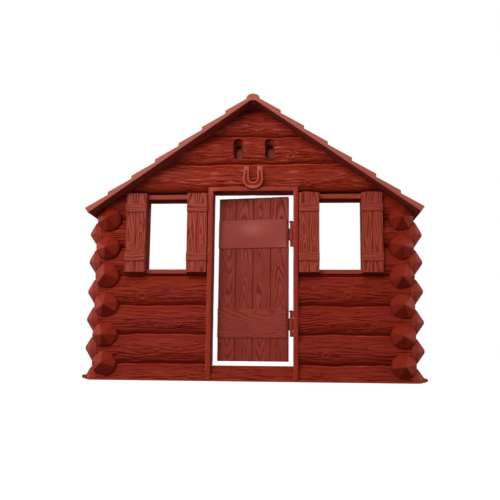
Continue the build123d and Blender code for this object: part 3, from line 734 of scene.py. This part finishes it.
def bevelled(form, edge):
    """Rounds every edge at which two faces meet at more than the crease angle."""
    sharp = [e for e in form.edges if e.is_manifold and e.calc_face_angle(0) > crease]
    bmesh.ops.bevel(form, geom=sharp, offset=edge * mm, offset_type="OFFSET", segments=3,
                    profile=0.5, affect="EDGES", clamp_overlap=True)


def form_mesh(name, form):
    """Mesh of an edit form, which is then let go."""
    mesh = bpy.data.meshes.new(name)
    form.to_mesh(mesh)
    form.free()
    return mesh


def dressed(name, node, edge, wave=0.0, skin=1.0, shade=1.0, trim=None, groove_depth=0.0):
    """Copy of a solid with rounded edges. Flat faces are joined again, planes cut the copy into
    stretches along X, Y and Z, and slow noise shifts the points by up to the wave. Faces that look
    along the wall or down get the shade value, a painted shade, and are matt; the others get the
    skin value, which above 1 is a painted sheen; with a groove depth, all that lie deeper than it
    get the painted shade and are matt too."""
    form = bmesh.new()
    form.from_mesh(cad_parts[node].data)
    bmesh.ops.remove_doubles(form, verts=form.verts, dist=weld)
    bmesh.ops.dissolve_limit(form, angle_limit=radians(2), verts=form.verts, edges=form.edges)
    bevelled(form, edge)
    corners = np.array([v.co for v in form.verts]) / mm
    for way, pitch in enumerate(cut_pitch if wave else ()):
        for place in np.arange(corners[:, way].min() + pitch / 2, corners[:, way].max(), pitch):
            at, facing = Vector((0, 0, 0)), Vector((0, 0, 0))
            at[way], facing[way] = place * mm, 1
            bmesh.ops.bisect_plane(form, geom=[*form.verts, *form.edges, *form.faces],
                                   plane_co=at, plane_no=facing, dist=weld)
    bmesh.ops.triangulate(form, faces=[f for f in form.faces if len(f.verts) > 4])
    mesh = form_mesh(name, form)
    points = np.empty(3 * len(mesh.vertices), np.float32)
    mesh.vertices.foreach_get("co", points)
    points = points.reshape(-1, 3) / mm
    x, y, z = points.T
    middle = (points.min(0) + points.max(0)) / 2
    shift = np.stack([
        noise((y + z) / 12, x / 30, waver_seed),
        noise((x + z) / 10, y / 30, waver_seed + 1),
        noise((x + y) / 12, z / 30, waver_seed + 2),
    ], -1)
    points = points + np.sign(middle - points) * wave * np.abs(shift)
    points = trim(points) if trim else points
    mesh.vertices.foreach_set("co", (points * mm).astype(np.float32).ravel())
    mesh.update()
    normals = np.array([v.normal for v in mesh.vertices])
    in_view = np.maximum(np.abs(normals[:, Y]), normals[:, Z])
    open_side = np.clip(in_view * 1.6 - 0.3, 0, 1)
    if groove_depth:
        open_side *= np.clip((points[:, Y].min() + groove_depth - points[:, Y]) / 0.1, 0, 1)
    # Painted light and shade by facing: faces that look front or up take the skin, those that look
    # sideways or down the shade.
    relief = shade + (skin - shade) * open_side
    return finished(name, mesh, 35, relief=relief, matte=1 - open_side)


def under_log(points):
    """Keeps the front of a window frame between the log above it and the log below it, so that
    nothing stands out past the shutters."""
    held = points.copy()
    in_front = points[:, Y] < crest - 0.2
    held[in_front, Z] = np.clip(points[in_front, Z], window_bottom + 0.75, window_top - 1.2)
    return held


# Frames, backing and horseshoe get painted shade on side and lower faces and in grooves, and a
# painted sheen where the skin is above 1.
mount(dressed("door_frame_dressed", "door_frame", 0.22, wave=0.16, shade=0.5), "door_frame")
for node in ("left_window_frame", "right_window_frame"):
    mount(dressed(f"{node}_dressed", node, 0.2, 0.1, skin=1.2, shade=0.5, trim=under_log), node)
mount(dressed("gable_backing_dressed", "gable_backing", 0.3, shade=0.8), "gable_backing")
shoe = dressed("horseshoe_dressed", "horseshoe", 0.14, skin=1.45, shade=0.95, groove_depth=0.3)
mount(shoe, "horseshoe")

# %% [markdown]
# The foot strip
#
# The strip under the wall is thin and plain, but both its ends curl up to a small lip past the last
# log. A bevelled bar would end square, so the strip is a skin over rings that run along it: each
# ring is a rounded bar, and towards the ends the rings grow narrower and lift off the ground.

# %% Foot strip
_, strip_high = node_box("foot_strip")
strip_top, lip_top, lip_half, lip_lift = 0.9, 2.8, 1.5, 0.9
around_strip = 40

end_x = strip_high[0] - 0.5
curl = end_x - np.array([0.0, 0.06, 0.2, 0.45, 0.8, 1.15, 1.5, 1.9, 2.4, 3.0, 4.0, 5.5])
along_strip = np.concatenate([-curl, np.linspace(-body_x, body_x, 90), curl[::-1]])
away = np.abs(along_strip)
closing = np.sqrt(np.clip(1 - (1 - np.clip((end_x - away) / 1.1, 0, 1)) ** 2, 0.02, 1))

low_z = lip_lift * soft_step(away, end_x - 5.5, end_x + 1.2)
high_z = strip_top + 0.06 * noise(along_strip / 13, 0.3, 8)
high_z = high_z + (lip_top - strip_top) * soft_step(away, end_x - 3.2, end_x - 1.5)
middle_z, half_z = (high_z + low_z) / 2, (high_z - low_z) / 2 * closing
narrowing = 1 - soft_step(away, body_x - 1, end_x - 0.4)
half_depth = lip_half + (strip_high[1] - lip_half) * narrowing
half_depth = half_depth * (0.6 + 0.4 * closing)
half_depth = half_depth * (1 - 0.012 * (1 + noise(along_strip / 9, 0.8, 9)))


def bulge(wave, power):
    """Cosine or sine pushed towards 1 and -1 by a power below 1, for a section that is nearly
    square but has round corners."""
    return np.sign(wave) * np.abs(wave) ** power


angle = np.linspace(0, 2 * pi, around_strip, endpoint=False)
rings = np.stack([
    np.broadcast_to(along_strip[:, None], (len(along_strip), around_strip)),
    half_depth[:, None] * bulge(np.cos(angle), 0.25),
    middle_z[:, None] + half_z[:, None] * bulge(np.sin(angle), 0.3),
], -1)
mount(closed_tube("foot_strip_rings", rings), "foot_strip")

# %% [markdown]
# The door
#
# The leaf is four planks side by side with two broad bands across, all in one moulding that turns
# on two knuckles. Its grain is cut deep: arched rings with knots on the planks, and flowing lines
# along the lower band. The planks are blocks in the door's own plane, turned into place last.

# %% Door measures
pin_low, pin_high = node_box("upper_hinge_pin")
pivot = (pin_low + pin_high)[:2] / 2
ajar = -radians(8.3)
leaf_low, leaf_high = node_box("door_leaf")
# In the closed door's plane, from the hinge's axis: faces, the edge beside it, and the far edge
leaf_front, leaf_rear = -2.35, 0.25
hinge_edge, leaf_width = -1.25, 39.9
far_edge = hinge_edge - leaf_width
planks = 4
plank_width = leaf_width / planks


def hang(points):
    """Turns points of the closed door's plane about the hinge to the resting angle."""
    x, y, z = points.T
    return np.stack([
        pivot[0] + x * cos(ajar) - y * sin(ajar), pivot[1] + x * sin(ajar) + y * cos(ajar), z,
    ], -1)


# Each plank's heart and knots, as distance across from the leaf's free edge and height
plank_hearts = [(6.0, 92.0), (15.5, 30.0), (24.0, 64.0), (35.5, 20.0)]
plank_knots = [
    [(4.6, 55.0, 1.9)],
    [(15.4, 62.5, 2.3), (13.0, 16.5, 1.5)],
    [(25.5, 51.0, 2.0), (27.2, 94.0, 1.7)],
    [(34.2, 66.0, 2.2), (36.5, 45.5, 1.6)],
]

# %% Door leaf
for number in range(planks):
    left = far_edge + number * plank_width
    heart = (plank_hearts[number][0] + far_edge, plank_hearts[number][1])
    knots = [(a + far_edge, b, size) for a, b, size in plank_knots[number]]
    # The planks' cut lines are darkened as painted shade.
    wood = board_grain(Z, X, 60 + number, spacing=0.84, depth=0.2, heart=heart, knots=knots,
                       groove_shade=0.8)
    plank = block_piece(
        f"door_plank_{number + 1}",
        low=(left, leaf_front, leaf_low[2]), high=(left + plank_width, leaf_rear, leaf_high[2]),
        step=(0.2, 0.6, 0.5), radius=0.42, grain=wood, place=hang,
    )
    mount(plank, *([] if number else ["door_leaf"]), body="door", finish="door_plastic")

# %% Door bands
band_middle = far_edge + leaf_width / 2


def pressed_sheet(low_z, high_z):
    """Grain of the plain upper band: a shallow dome, 1 - u^2 times 1 - v^2, with a slow wave on it,
    and a slightly pale face with a painted sheen round two places."""
    def grain(points, out):
        u = (points[:, X] - band_middle) / (leaf_width / 2)
        v = (2 * points[:, Z] - low_z - high_z) / (high_z - low_z)
        front = np.clip(-out[:, Y], 0, 1)
        dome = 0.3 * (1 - u**2) * (1 - v**2) + 0.1 * noise(points[:, X] / 12, points[:, Z] / 7, 5)
        # Painted sheen: two soft pale patches on the band's face.
        painted_sheen = np.exp(-((u / 0.33) ** 2) - ((v - 0.35) / 0.45) ** 2)
        painted_sheen = painted_sheen + 0.8 * np.exp(-(((u - 0.95) / 0.3) ** 2) - ((v + 0.9) / 0.35) ** 2)
        return front * dome - 0.1, 1.05 + 0.45 * painted_sheen
    return grain


band_stands_out, band_sinks_in, band_short = 0.7, 0.5, 0.9
for word in ("lower", "upper"):
    low, high = node_box(f"{word}_door_band")
    # The lower band's grain runs across the door, so its heart and knot are given as height first
    heart, knot = (low[2] + 14.0, far_edge + 26.0), (low[2] + 7.0, far_edge + 12.0, 1.8)
    # The lower band's cut lines are darkened as painted shade.
    lines = board_grain(X, Z, 71, spacing=1.3, depth=0.15, heart=heart, stretch=7.0, knots=[knot],
                        waves=0.1, groove_shade=0.45)
    band = block_piece(
        f"{word}_band_board",
        low=(far_edge + 0.02, leaf_front - band_stands_out, low[2]),
        high=(far_edge + leaf_width - band_short, leaf_front + band_sinks_in, high[2]),
        step=(0.45, 0.4, 0.2), radius=0.18,
        grain=lines if word == "lower" else pressed_sheet(low[2], high[2]), place=hang,
    )
    mount(band, f"{word}_door_band", body="door", finish="door_plastic")


# %% Hinge knuckles and pins
def turned(name, profile, centre, count=40):
    """Revolves a closed profile of radius and height about an upright axis: X and Y are the
    centre's plus the radius times the angle's cosine and sine."""
    angle = np.linspace(0, 2 * pi, count, endpoint=False)[:, None]
    radius, height = np.array(profile, float).T
    points = np.stack([
        centre[0] + radius * np.cos(angle),
        centre[1] + radius * np.sin(angle),
        np.broadcast_to(height, (count, len(height))),
    ], -1).reshape(-1, 3)
    index = np.arange(len(points)).reshape(count, -1)
    after, up = np.roll(index, -1, 0), np.roll(index, -1, 1)
    quads = np.stack([index, after, np.roll(after, -1, 1), up], -1).reshape(-1, 4)
    return to_mesh(name, points, quads.tolist(), relief=np.ones(len(points)))


knuckle_height, hinge_height, barrel, bore, soft = 6.8, 13.6, 1.25, 0.75, 0.18
for word in ("lower", "upper"):
    low, _ = node_box(f"{word}_hinge_pin")
    middle = low[2] + hinge_height / 2
    top, bottom = middle + knuckle_height / 2, middle - knuckle_height / 2
    profile = [
        (bore, bottom + soft), (bore + soft, bottom),
        (barrel - soft, bottom), (barrel, bottom + soft),
        (barrel, top - soft), (barrel - soft, top),
        (bore + soft, top), (bore, top - soft),
    ]
    knuckle = turned(f"{word}_knuckle", profile, pivot)
    mount(knuckle, body="door", finish="door_plastic")
    web = block_piece(
        f"{word}_knuckle_web", low=(-2.6, -0.95, bottom + 0.02), high=(-0.8, 0.24, top - 0.02),
        step=(0.5, 0.5, 1.0), radius=0.12, place=hang,
        grain=board_grain(Z, X, 80, spacing=1.2, depth=0.03),
    )
    mount(web, body="door", finish="door_plastic")
    mount(dressed(f"{word}_pin", f"{word}_hinge_pin", 0.12), f"{word}_hinge_pin")

# %% [markdown]
# Shutters
#
# Each shutter is two narrow planks under two battens, pressed onto the wall beside a window. The
# battens stand a little wider than the planks, so they are blocks of their own with grain across.

# %% Shutters
shutters = (
    "left_outer_shutter", "left_inner_shutter", "right_inner_shutter", "right_outer_shutter",
)
shutter_plank = 5.65
batten_front, batten_half, batten_inset = 0.7, 2.25, 8.5

for number, node in enumerate(shutters):
    low, high = node_box(node)
    centre, board_front = (low[0] + high[0]) / 2, low[1] + batten_front
    for half_number, left in enumerate((centre - shutter_plank, centre)):
        seed = 90 + 4 * number + half_number
        heart_z = (low[2] + high[2]) / 2 + 14 * float(noise(seed * 0.37, 0.5, 2))
        knot_z = low[2] + 10 + 24 * abs(float(noise(seed * 0.61, 0.2, 8)))
        # Skin above 1 is a painted sheen on the shutters, and their cut lines are darkened as
        # painted shade.
        wood = board_grain(Z, X, seed, spacing=1.1, depth=0.28, heart=(left + 2.8, heart_z),
                           stretch=13.0, knots=[(left + 2.6, knot_z, 1.2)], waves=0.05, skin=1.1,
                           groove_shade=0.95)
        plank = block_piece(
            f"{node}_plank_{half_number + 1}",
            low=(left, board_front, low[2]), high=(left + shutter_plank, 0.6 - crest, high[2]),
            step=(0.17, 0.5, 0.45), radius=0.22, grain=wood, place=in_place,
        )
        mount(plank, *([] if half_number else [node]), finish="shutter_plastic")
    for batten_number, z in enumerate((low[2] + batten_inset, high[2] - batten_inset)):
        seed = 120 + 3 * number + batten_number
        wood = board_grain(X, Z, seed, spacing=1.0, depth=0.14, heart=(z, centre), stretch=16.0,
                           waves=0.04, skin=1.15, groove_shade=0.9)
        batten = block_piece(
            f"{node}_batten_{batten_number + 1}",
            low=(low[0], low[1], z - batten_half),
            high=(high[0], board_front + 0.6, z + batten_half),
            step=(0.4, 0.3, 0.17), radius=0.16, grain=wood, place=in_place,
        )
        mount(batten, finish="shutter_plastic")

# %% [markdown]
# Roof
#
# Each half of the roof is seven courses of shingles, and every course's thick end lies over the
# thin end below it. The shingles are blocks in the roof's own measures: the way down the slope, the
# depth, and the height over the deck, which is made a wedge before it is tilted into place.

# %% Roof measures
courses, shingles_across = 7, 4
course_thick, course_thin, course_lap = 3.1, 1.6, 0.6
# The shingles sit a little over the deck, so that their cut grain never reaches down to it, and
# end short of the deck's smooth front and rear edges
shingle_lift, fascia = 0.34, 0.22
eaves_reach = 9.64
roof_half_depth = roof_high[1]
roof_length = (corner_x + eaves_reach) / cos(roof_angle)
course = roof_length / courses
shingle_width = 2 * roof_half_depth / shingles_across


ridge_gap = 0.02


def on_slope(side):
    """Placing function: down the slope, depth and height over the deck become X, Y and Z. Nothing
    passes the ridge."""
    def place(points):
        down, depth, up = points.T
        down = np.maximum(down, ridge_gap - up * tan(roof_angle))
        x = down * cos(roof_angle) + up * sin(roof_angle)
        z = roof_apex - down * sin(roof_angle) + up * cos(roof_angle)
        return np.stack([side * x, depth, z], -1)
    return place


def shingle_place(side, low_down, upright):
    """As on_slope, after the block's height has been shared out between thick and thin end. An
    upright lower end is sheared, so that it stands plumb on the course below."""
    def place(points):
        share = (points[:, X] - (low_down - course)) / course
        shear = (course_thick - points[:, Z]) * tan(roof_angle) * soft_step(share, 0.6, 1.0)
        wedge = points.copy()
        wedge[:, Z] *= (course_thin + (course_thick - course_thin) * share) / course_thick
        wedge[:, Z] += shingle_lift
        wedge[:, X] += upright * shear
        return on_slope(side)(wedge)
    return place


def shingle_grain(seed, heart):
    """Board grain on the top and the lower end, none on the faces that look out over the wall."""
    # The skin above 1 is a painted sheen, and the cut lines are darkened as painted shade.
    wood = board_grain(X, Y, seed, spacing=1.0, depth=0.18, heart=heart, stretch=24.0, skin=1.15,
                       groove_shade=0.6)

    def grain(points, out):
        height, relief = wood(points, out)
        plain = np.abs(out[:, Y]) ** 2
        return height * (1 - plain), relief * (1 - plain) + plain
    return grain


def joined(name, parts, mirrored):
    """One mesh from several pieces, for shingles that are moulded together. The faces of mirrored
    ones are turned outwards again."""
    form = bmesh.new()
    for part in parts:
        form.from_mesh(part.data)
        bpy.data.objects.remove(part)
    if mirrored:
        bmesh.ops.reverse_faces(form, faces=form.faces)
    return finished(name, form_mesh(name, form), 50)


# %% Shingles
for side, word in ((-1, "left"), (1, "right")):
    # The deck's faces in view get a painted sheen, its underside a painted shade.
    deck = dressed(f"{word}_roof_deck", f"{word}_roof", 0.12, skin=1.4, shade=0.55)
    mount(deck, f"{word}_roof", finish="roof_plastic")
    for number in range(courses):
        low_down = roof_length - number * course + (course_lap if number else 0.0)
        top_end = low_down - course if number < courses - 1 else 0.0
        staggered = number % 2
        seams = shingle_width * (np.arange(shingles_across + 1 + staggered) - staggered / 2)
        seams = np.clip(seams, fascia, 2 * roof_half_depth - fascia) - roof_half_depth
        parts = []
        for k, (near, far) in enumerate(zip(seams[:-1], seams[1:])):
            seed = 200 + 50 * (side > 0) + 7 * number + k
            parts.append(block_piece(
                f"shingle_{k}", low=(top_end, near, 0.5), high=(low_down, far, course_thick),
                step=(0.5, 0.24, 0.4), radius=0.25,
                grain=shingle_grain(seed, ((near + far) / 2, low_down - course * 1.4)),
                place=shingle_place(side, low_down, number > 0),
            ))
        rows = joined(f"{word}_roof_course_{number + 1}", parts, mirrored=side < 0)
        mount(rows, finish="roof_plastic")

# %% Ridge cap
_, cap_high = node_box("ridge_cap")
cap_half, cap_inset, cap_edge = cap_high[0] - 0.05, 0.03, 0.15
shoulder = cap_high[2] - 2.7
cap_seat = roof_apex + 0.9


def prism(name, outline, near, far, edge, skin):
    """Closed bar with the outline's section, running from near to far, its edges bevelled."""
    form = bmesh.new()
    ring = [form.verts.new((x * mm, near * mm, z * mm)) for x, z in outline]
    pushed = bmesh.ops.extrude_face_region(form, geom=[form.faces.new(ring)])["geom"]
    moved = [v for v in pushed if isinstance(v, bmesh.types.BMVert)]
    bmesh.ops.translate(form, verts=moved, vec=(0, (far - near) * mm, 0))
    bmesh.ops.recalc_face_normals(form, faces=form.faces)
    bevelled(form, edge)
    mesh = form_mesh(name, form)
    return finished(name, mesh, 40, relief=np.full(len(mesh.vertices), skin))


# Half an ellipse over the shoulders, and below it the notch that sits on both slopes
swing = np.linspace(0, pi, 33)
rise = cap_high[2] - shoulder
arc = np.stack([cap_half * np.cos(swing), shoulder + rise * np.sin(swing)], -1)
foot = cap_seat - cap_half * tan(roof_angle)
notch = [(-cap_half, foot), (0, cap_seat), (cap_half, foot)]
near, far = cap_inset - roof_half_depth, roof_half_depth - cap_inset
# The cap's whole tone, 1.4, is a painted sheen.
cap = prism("ridge_cap_bar", [*arc, *notch], near, far, cap_edge, 1.4)
mount(cap, "ridge_cap", finish="roof_plastic")

# %% [markdown]
# Plastic that looks moulded
#
# The toy is moulded in one reddish brown and its pieces differ only a little. A single flat colour
# would look like paint, so three shared node groups give a slightly blotchy tone with painted shade
# in the furrows and painted highlights, a fine skin on the surface, and pale edges that are partly
# wear and partly a painted highlight.
# The gloss could be painted from place to place too. It is one low value here, and only the
# roughness changes over the surface, because that is what moulded plastic does.


# %% Node group helpers
def new_group(name, inputs, outputs):
    """Node group with the named sockets, and its two end nodes."""
    group = bpy.data.node_groups.new(name, "ShaderNodeTree")
    for socket_name, kind, value in inputs:
        socket = group.interface.new_socket(name=socket_name, in_out="INPUT", socket_type=kind)
        if value is not None:
            socket.default_value = value
    for socket_name, kind in outputs:
        group.interface.new_socket(name=socket_name, in_out="OUTPUT", socket_type=kind)
    return group, group.nodes.new("NodeGroupInput"), group.nodes.new("NodeGroupOutput")


def feed(tree, socket, value):
    """Links an input to another node's output, or sets it where the value is a plain one."""
    if isinstance(value, bpy.types.NodeSocket):
        tree.links.new(value, socket)
    else:
        socket.default_value = value


def node(tree, kind, **settings):
    """New node. Each setting is a property of the node, or else the input of that name."""
    made = tree.nodes.new(kind)
    for key, value in settings.items():
        if hasattr(made, key):
            setattr(made, key, value)
        else:
            feed(tree, made.inputs[key.replace("_", " ")], value)
    return made


def mix_colour(tree, share, first, second):
    """Colour mix: the first where the share is 0, the second where it is 1."""
    made = node(tree, "ShaderNodeMix", data_type="RGBA")
    for number, value in ((0, share), (6, first), (7, second)):
        feed(tree, made.inputs[number], value)
    return made.outputs[2]


def maths(tree, operation, first, second):
    """One sum, difference, product, least or greatest of two values."""
    made = node(tree, "ShaderNodeMath", operation=operation)
    feed(tree, made.inputs[0], first)
    feed(tree, made.inputs[1], second)
    return made.outputs[0]


# %% Tone group
tree, given, result = new_group(
    "moulding_tone",
    [("Body", "NodeSocketColor", (0.3, 0.02, 0.01, 1)),
     ("Deep", "NodeSocketColor", (0.1, 0.005, 0.002, 1)),
     ("Pale", "NodeSocketColor", (0.4, 0.1, 0.06, 1)),
     ("Relief", "NodeSocketFloat", 1.0), ("Blotch", "NodeSocketFloat", 0.15)],
    [("Colour", "NodeSocketColor"), ("Open", "NodeSocketFloat")],
)
tone_group = tree
where = node(tree, "ShaderNodeTexCoord").outputs["Object"]
cloud = node(tree, "ShaderNodeTexNoise", Vector=where, Scale=55.0, Detail=3.0, Roughness=0.6)
uneven = maths(tree, "SUBTRACT", cloud.outputs["Fac"], 0.5)
uneven = maths(tree, "MULTIPLY", uneven, given.outputs["Blotch"])
# Painted light and shade: the tone runs from the deep colour, a painted shade, at 0 to the body at
# 1, and on towards the pale colour, a painted highlight, above 1.
open_share = maths(tree, "MAXIMUM", given.outputs["Relief"], 0.0)
open_share = maths(tree, "MINIMUM", open_share, 1.0)
pale_share = maths(tree, "SUBTRACT", given.outputs["Relief"], 1.0)
pale_share = maths(tree, "MAXIMUM", pale_share, 0.0)
clouded = node(tree, "ShaderNodeHueSaturation", Color=given.outputs["Body"],
               Value=maths(tree, "ADD", uneven, 1.0))
open_colour = mix_colour(tree, open_share, given.outputs["Deep"], clouded.outputs["Color"])
toned = mix_colour(tree, pale_share, open_colour, given.outputs["Pale"])
feed(tree, result.inputs["Colour"], toned)
feed(tree, result.inputs["Open"], open_share)

# %% Skin group
tree, given, result = new_group(
    "moulded_skin",
    [("Scale", "NodeSocketFloat", 900.0), ("Strength", "NodeSocketFloat", 0.15),
     ("Depth", "NodeSocketFloat", 0.0001)],
    [("Normal", "NodeSocketVector"), ("Fleck", "NodeSocketFloat")],
)
skin_group = tree
where = node(tree, "ShaderNodeTexCoord").outputs["Object"]
fine = node(tree, "ShaderNodeTexNoise", Vector=where, Scale=given.outputs["Scale"], Detail=2.0,
            Roughness=0.55)
pimples = node(tree, "ShaderNodeBump", Height=fine.outputs["Fac"],
               Strength=given.outputs["Strength"], Distance=given.outputs["Depth"])
feed(tree, result.inputs["Normal"], pimples.outputs["Normal"])
feed(tree, result.inputs["Fleck"], fine.outputs["Fac"])

# %% Wear and edge highlight group
tree, given, result = new_group(
    "worn_and_lit_edge",
    [("Colour", "NodeSocketColor", (0.5, 0.5, 0.5, 1)),
     ("Worn", "NodeSocketColor", (0.5, 0.2, 0.15, 1)), ("Amount", "NodeSocketFloat", 0.3)],
    [("Colour", "NodeSocketColor")],
)
wear_and_highlight_group = tree
# Sharp convex edges are painted pale, partly as wear and partly as a painted highlight.
shape = node(tree, "ShaderNodeNewGeometry")
edge_share = node(tree, "ShaderNodeMapRange", clamp=True, Value=shape.outputs["Pointiness"],
                  From_Min=0.52, From_Max=0.62)
amount = maths(tree, "MULTIPLY", edge_share.outputs["Result"], given.outputs["Amount"])
worn = mix_colour(tree, amount, given.outputs["Colour"], given.outputs["Worn"])
feed(tree, result.inputs["Colour"], worn)


# %% Materials
gloss, roughness = 0.105, 0.45
fleck_roughness, furrow_roughness, side_roughness = 0.12, 0.45, 0.6
blotch, wear_and_highlight, skin_strength = 0.18, 0.25, 0.12


def placed(tree, group, **inputs):
    """Places a group in a material and feeds its inputs."""
    made = tree.nodes.new("ShaderNodeGroup")
    made.node_tree = group
    for key, value in inputs.items():
        feed(tree, made.inputs[key], value)
    return made


def moulded_plastic(name, body, deep, pale):
    """Half-matt coloured plastic: a tone with painted shade and painted highlights, pale edges that
    are partly wear and partly a painted highlight, and a fine skin. It is rougher in the furrows,
    and roughest on side faces, where a sheen would look like a pale rim."""
    material = bpy.data.materials.new(name)
    material.use_nodes = True
    tree = material.node_tree
    shader = tree.nodes["Principled BSDF"]
    shader.inputs["IOR"].default_value = 1.46
    shader.inputs["Specular IOR Level"].default_value = gloss
    relief = node(tree, "ShaderNodeAttribute", attribute_name="relief").outputs["Fac"]
    matte = node(tree, "ShaderNodeAttribute", attribute_name="matte").outputs["Fac"]
    tone = placed(tree, tone_group, Body=(*body, 1), Deep=(*deep, 1), Pale=(*pale, 1),
                  Relief=relief, Blotch=blotch)
    edge = placed(tree, wear_and_highlight_group, Colour=tone.outputs["Colour"], Worn=(*pale, 1), Amount=wear_and_highlight)
    surface = placed(tree, skin_group, Strength=skin_strength)
    fleck = maths(tree, "SUBTRACT", surface.outputs["Fleck"], 0.5)
    shut = maths(tree, "SUBTRACT", 1.0, tone.outputs["Open"])
    roughening = ((fleck, fleck_roughness), (shut, furrow_roughness), (matte, side_roughness))
    dull = roughness
    for part, share in roughening:
        dull = maths(tree, "ADD", maths(tree, "MULTIPLY", part, share), dull)
    feed(tree, shader.inputs["Base Color"], edge.outputs["Colour"])
    feed(tree, shader.inputs["Roughness"], dull)
    feed(tree, shader.inputs["Normal"], surface.outputs["Normal"])
    return material


# Colour of the body, of painted shade in furrows, cut lines and undersides, and of painted
# highlights and pale edges
plastics = {
    "red_brown_plastic": ((0.21, 0.014, 0.004), (0.075, 0.002, 0.0005), (0.38, 0.085, 0.05)),
    "door_plastic": ((0.205, 0.024, 0.0115), (0.06, 0.004, 0.001), (0.32, 0.085, 0.06)),
    "shutter_plastic": ((0.222, 0.027, 0.0125), (0.085, 0.004, 0.001), (0.34, 0.085, 0.055)),
    "roof_plastic": ((0.22, 0.028, 0.016), (0.07, 0.005, 0.002), (0.38, 0.115, 0.085)),
}
finishes = {name: moulded_plastic(name, *colours) for name, colours in plastics.items()}
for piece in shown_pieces():
    piece.data.materials.clear()
    piece.data.materials.append(finishes[piece.get("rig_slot", "red_brown_plastic")])
print("finishes", sorted(finishes))

# %% [markdown]
# Floor, light and background
#
# The photograph has a white ground and very soft light, brightest from above. Enough light to turn
# a floor white would clip the toy as well. So the floor is a quiet grey that throws little light
# back, the lamps stay low, and only what the camera sees of floor and sky is lifted to white. Close
# to the toy the lift is a little less, so that its shadow still shows.


# %% Floor
def seen_by_eye(tree):
    """1 for rays from the camera, off a gloss or through glass, 0 for those that light the toy."""
    ray = node(tree, "ShaderNodeLightPath").outputs
    direct = maths(tree, "MAXIMUM", ray["Is Camera Ray"], ray["Is Glossy Ray"])
    return maths(tree, "MAXIMUM", direct, ray["Is Transmission Ray"])


floor_half, shadow_reach, white_from = 4, 0.2, 0.6
corners = [(a * floor_half, b * floor_half, 0) for a, b in ((-1, -1), (1, -1), (1, 1), (-1, 1))]
floor_mesh = bpy.data.meshes.new("studio_floor")
floor_mesh.from_pydata(corners, [], [(0, 1, 2, 3)])
new_object("studio_floor", floor_mesh)
floor_material = bpy.data.materials.new("pale_floor")
floor_material.use_nodes = True
tree = floor_material.node_tree
where = node(tree, "ShaderNodeTexCoord").outputs["Object"]
far_off = node(tree, "ShaderNodeVectorMath", operation="LENGTH", Vector=where)
lift = node(tree, "ShaderNodeMapRange", clamp=True, Value=far_off.outputs["Value"],
            From_Min=shadow_reach, From_Max=white_from, To_Min=0.9, To_Max=1.0)
shader = tree.nodes["Principled BSDF"]
glow = maths(tree, "MULTIPLY", seen_by_eye(tree), lift.outputs["Result"])
feed(tree, shader.inputs["Emission Strength"], glow)
for socket, value in (("Base Color", (0.2, 0.2, 0.2, 1)), ("Emission Color", (1, 1, 1, 1)),
                      ("Roughness", 0.9), ("Specular IOR Level", 0.0)):
    shader.inputs[socket].default_value = value
floor_mesh.materials.append(floor_material)

# %% World
sky_share = 0.25
world = bpy.data.worlds.new("white_studio")
world.use_nodes = True
bpy.context.scene.world = world
tree = world.node_tree
rest_of_sky = maths(tree, "MULTIPLY", seen_by_eye(tree), 1 - sky_share)
background = tree.nodes["Background"]
feed(tree, background.inputs["Strength"], maths(tree, "ADD", sky_share, rest_of_sky))
background.inputs["Color"].default_value = (1, 1, 1, 1)

# %% Lamps
toy_middle = Vector((0, 0, 0.08))
# Place in metres, side of the lamp's square in metres, power in watts
lamps = {
    "soft_front": ((-0.12, -0.38, 0.26), 0.3, 1.95),
    "soft_top": ((0.0, -0.3, 1.0), 0.7, 1.8),
    "soft_left": ((-0.75, -0.1, 0.25), 0.6, 3.6),
    "soft_right": ((0.75, -0.1, 0.25), 0.6, 3.6),
    "soft_back": ((0.1, 0.5, 0.75), 0.6, 3.0),
}
for name, (place, size, power) in lamps.items():
    light = bpy.data.lights.new(name, "AREA")
    light.shape, light.size, light.energy = "SQUARE", size, power
    lamp = new_object(name, light)
    lamp.location = place
    lamp.rotation_euler = (toy_middle - Vector(place)).to_track_quat("-Z", "Y").to_euler()
print("lamps", list(lamps))
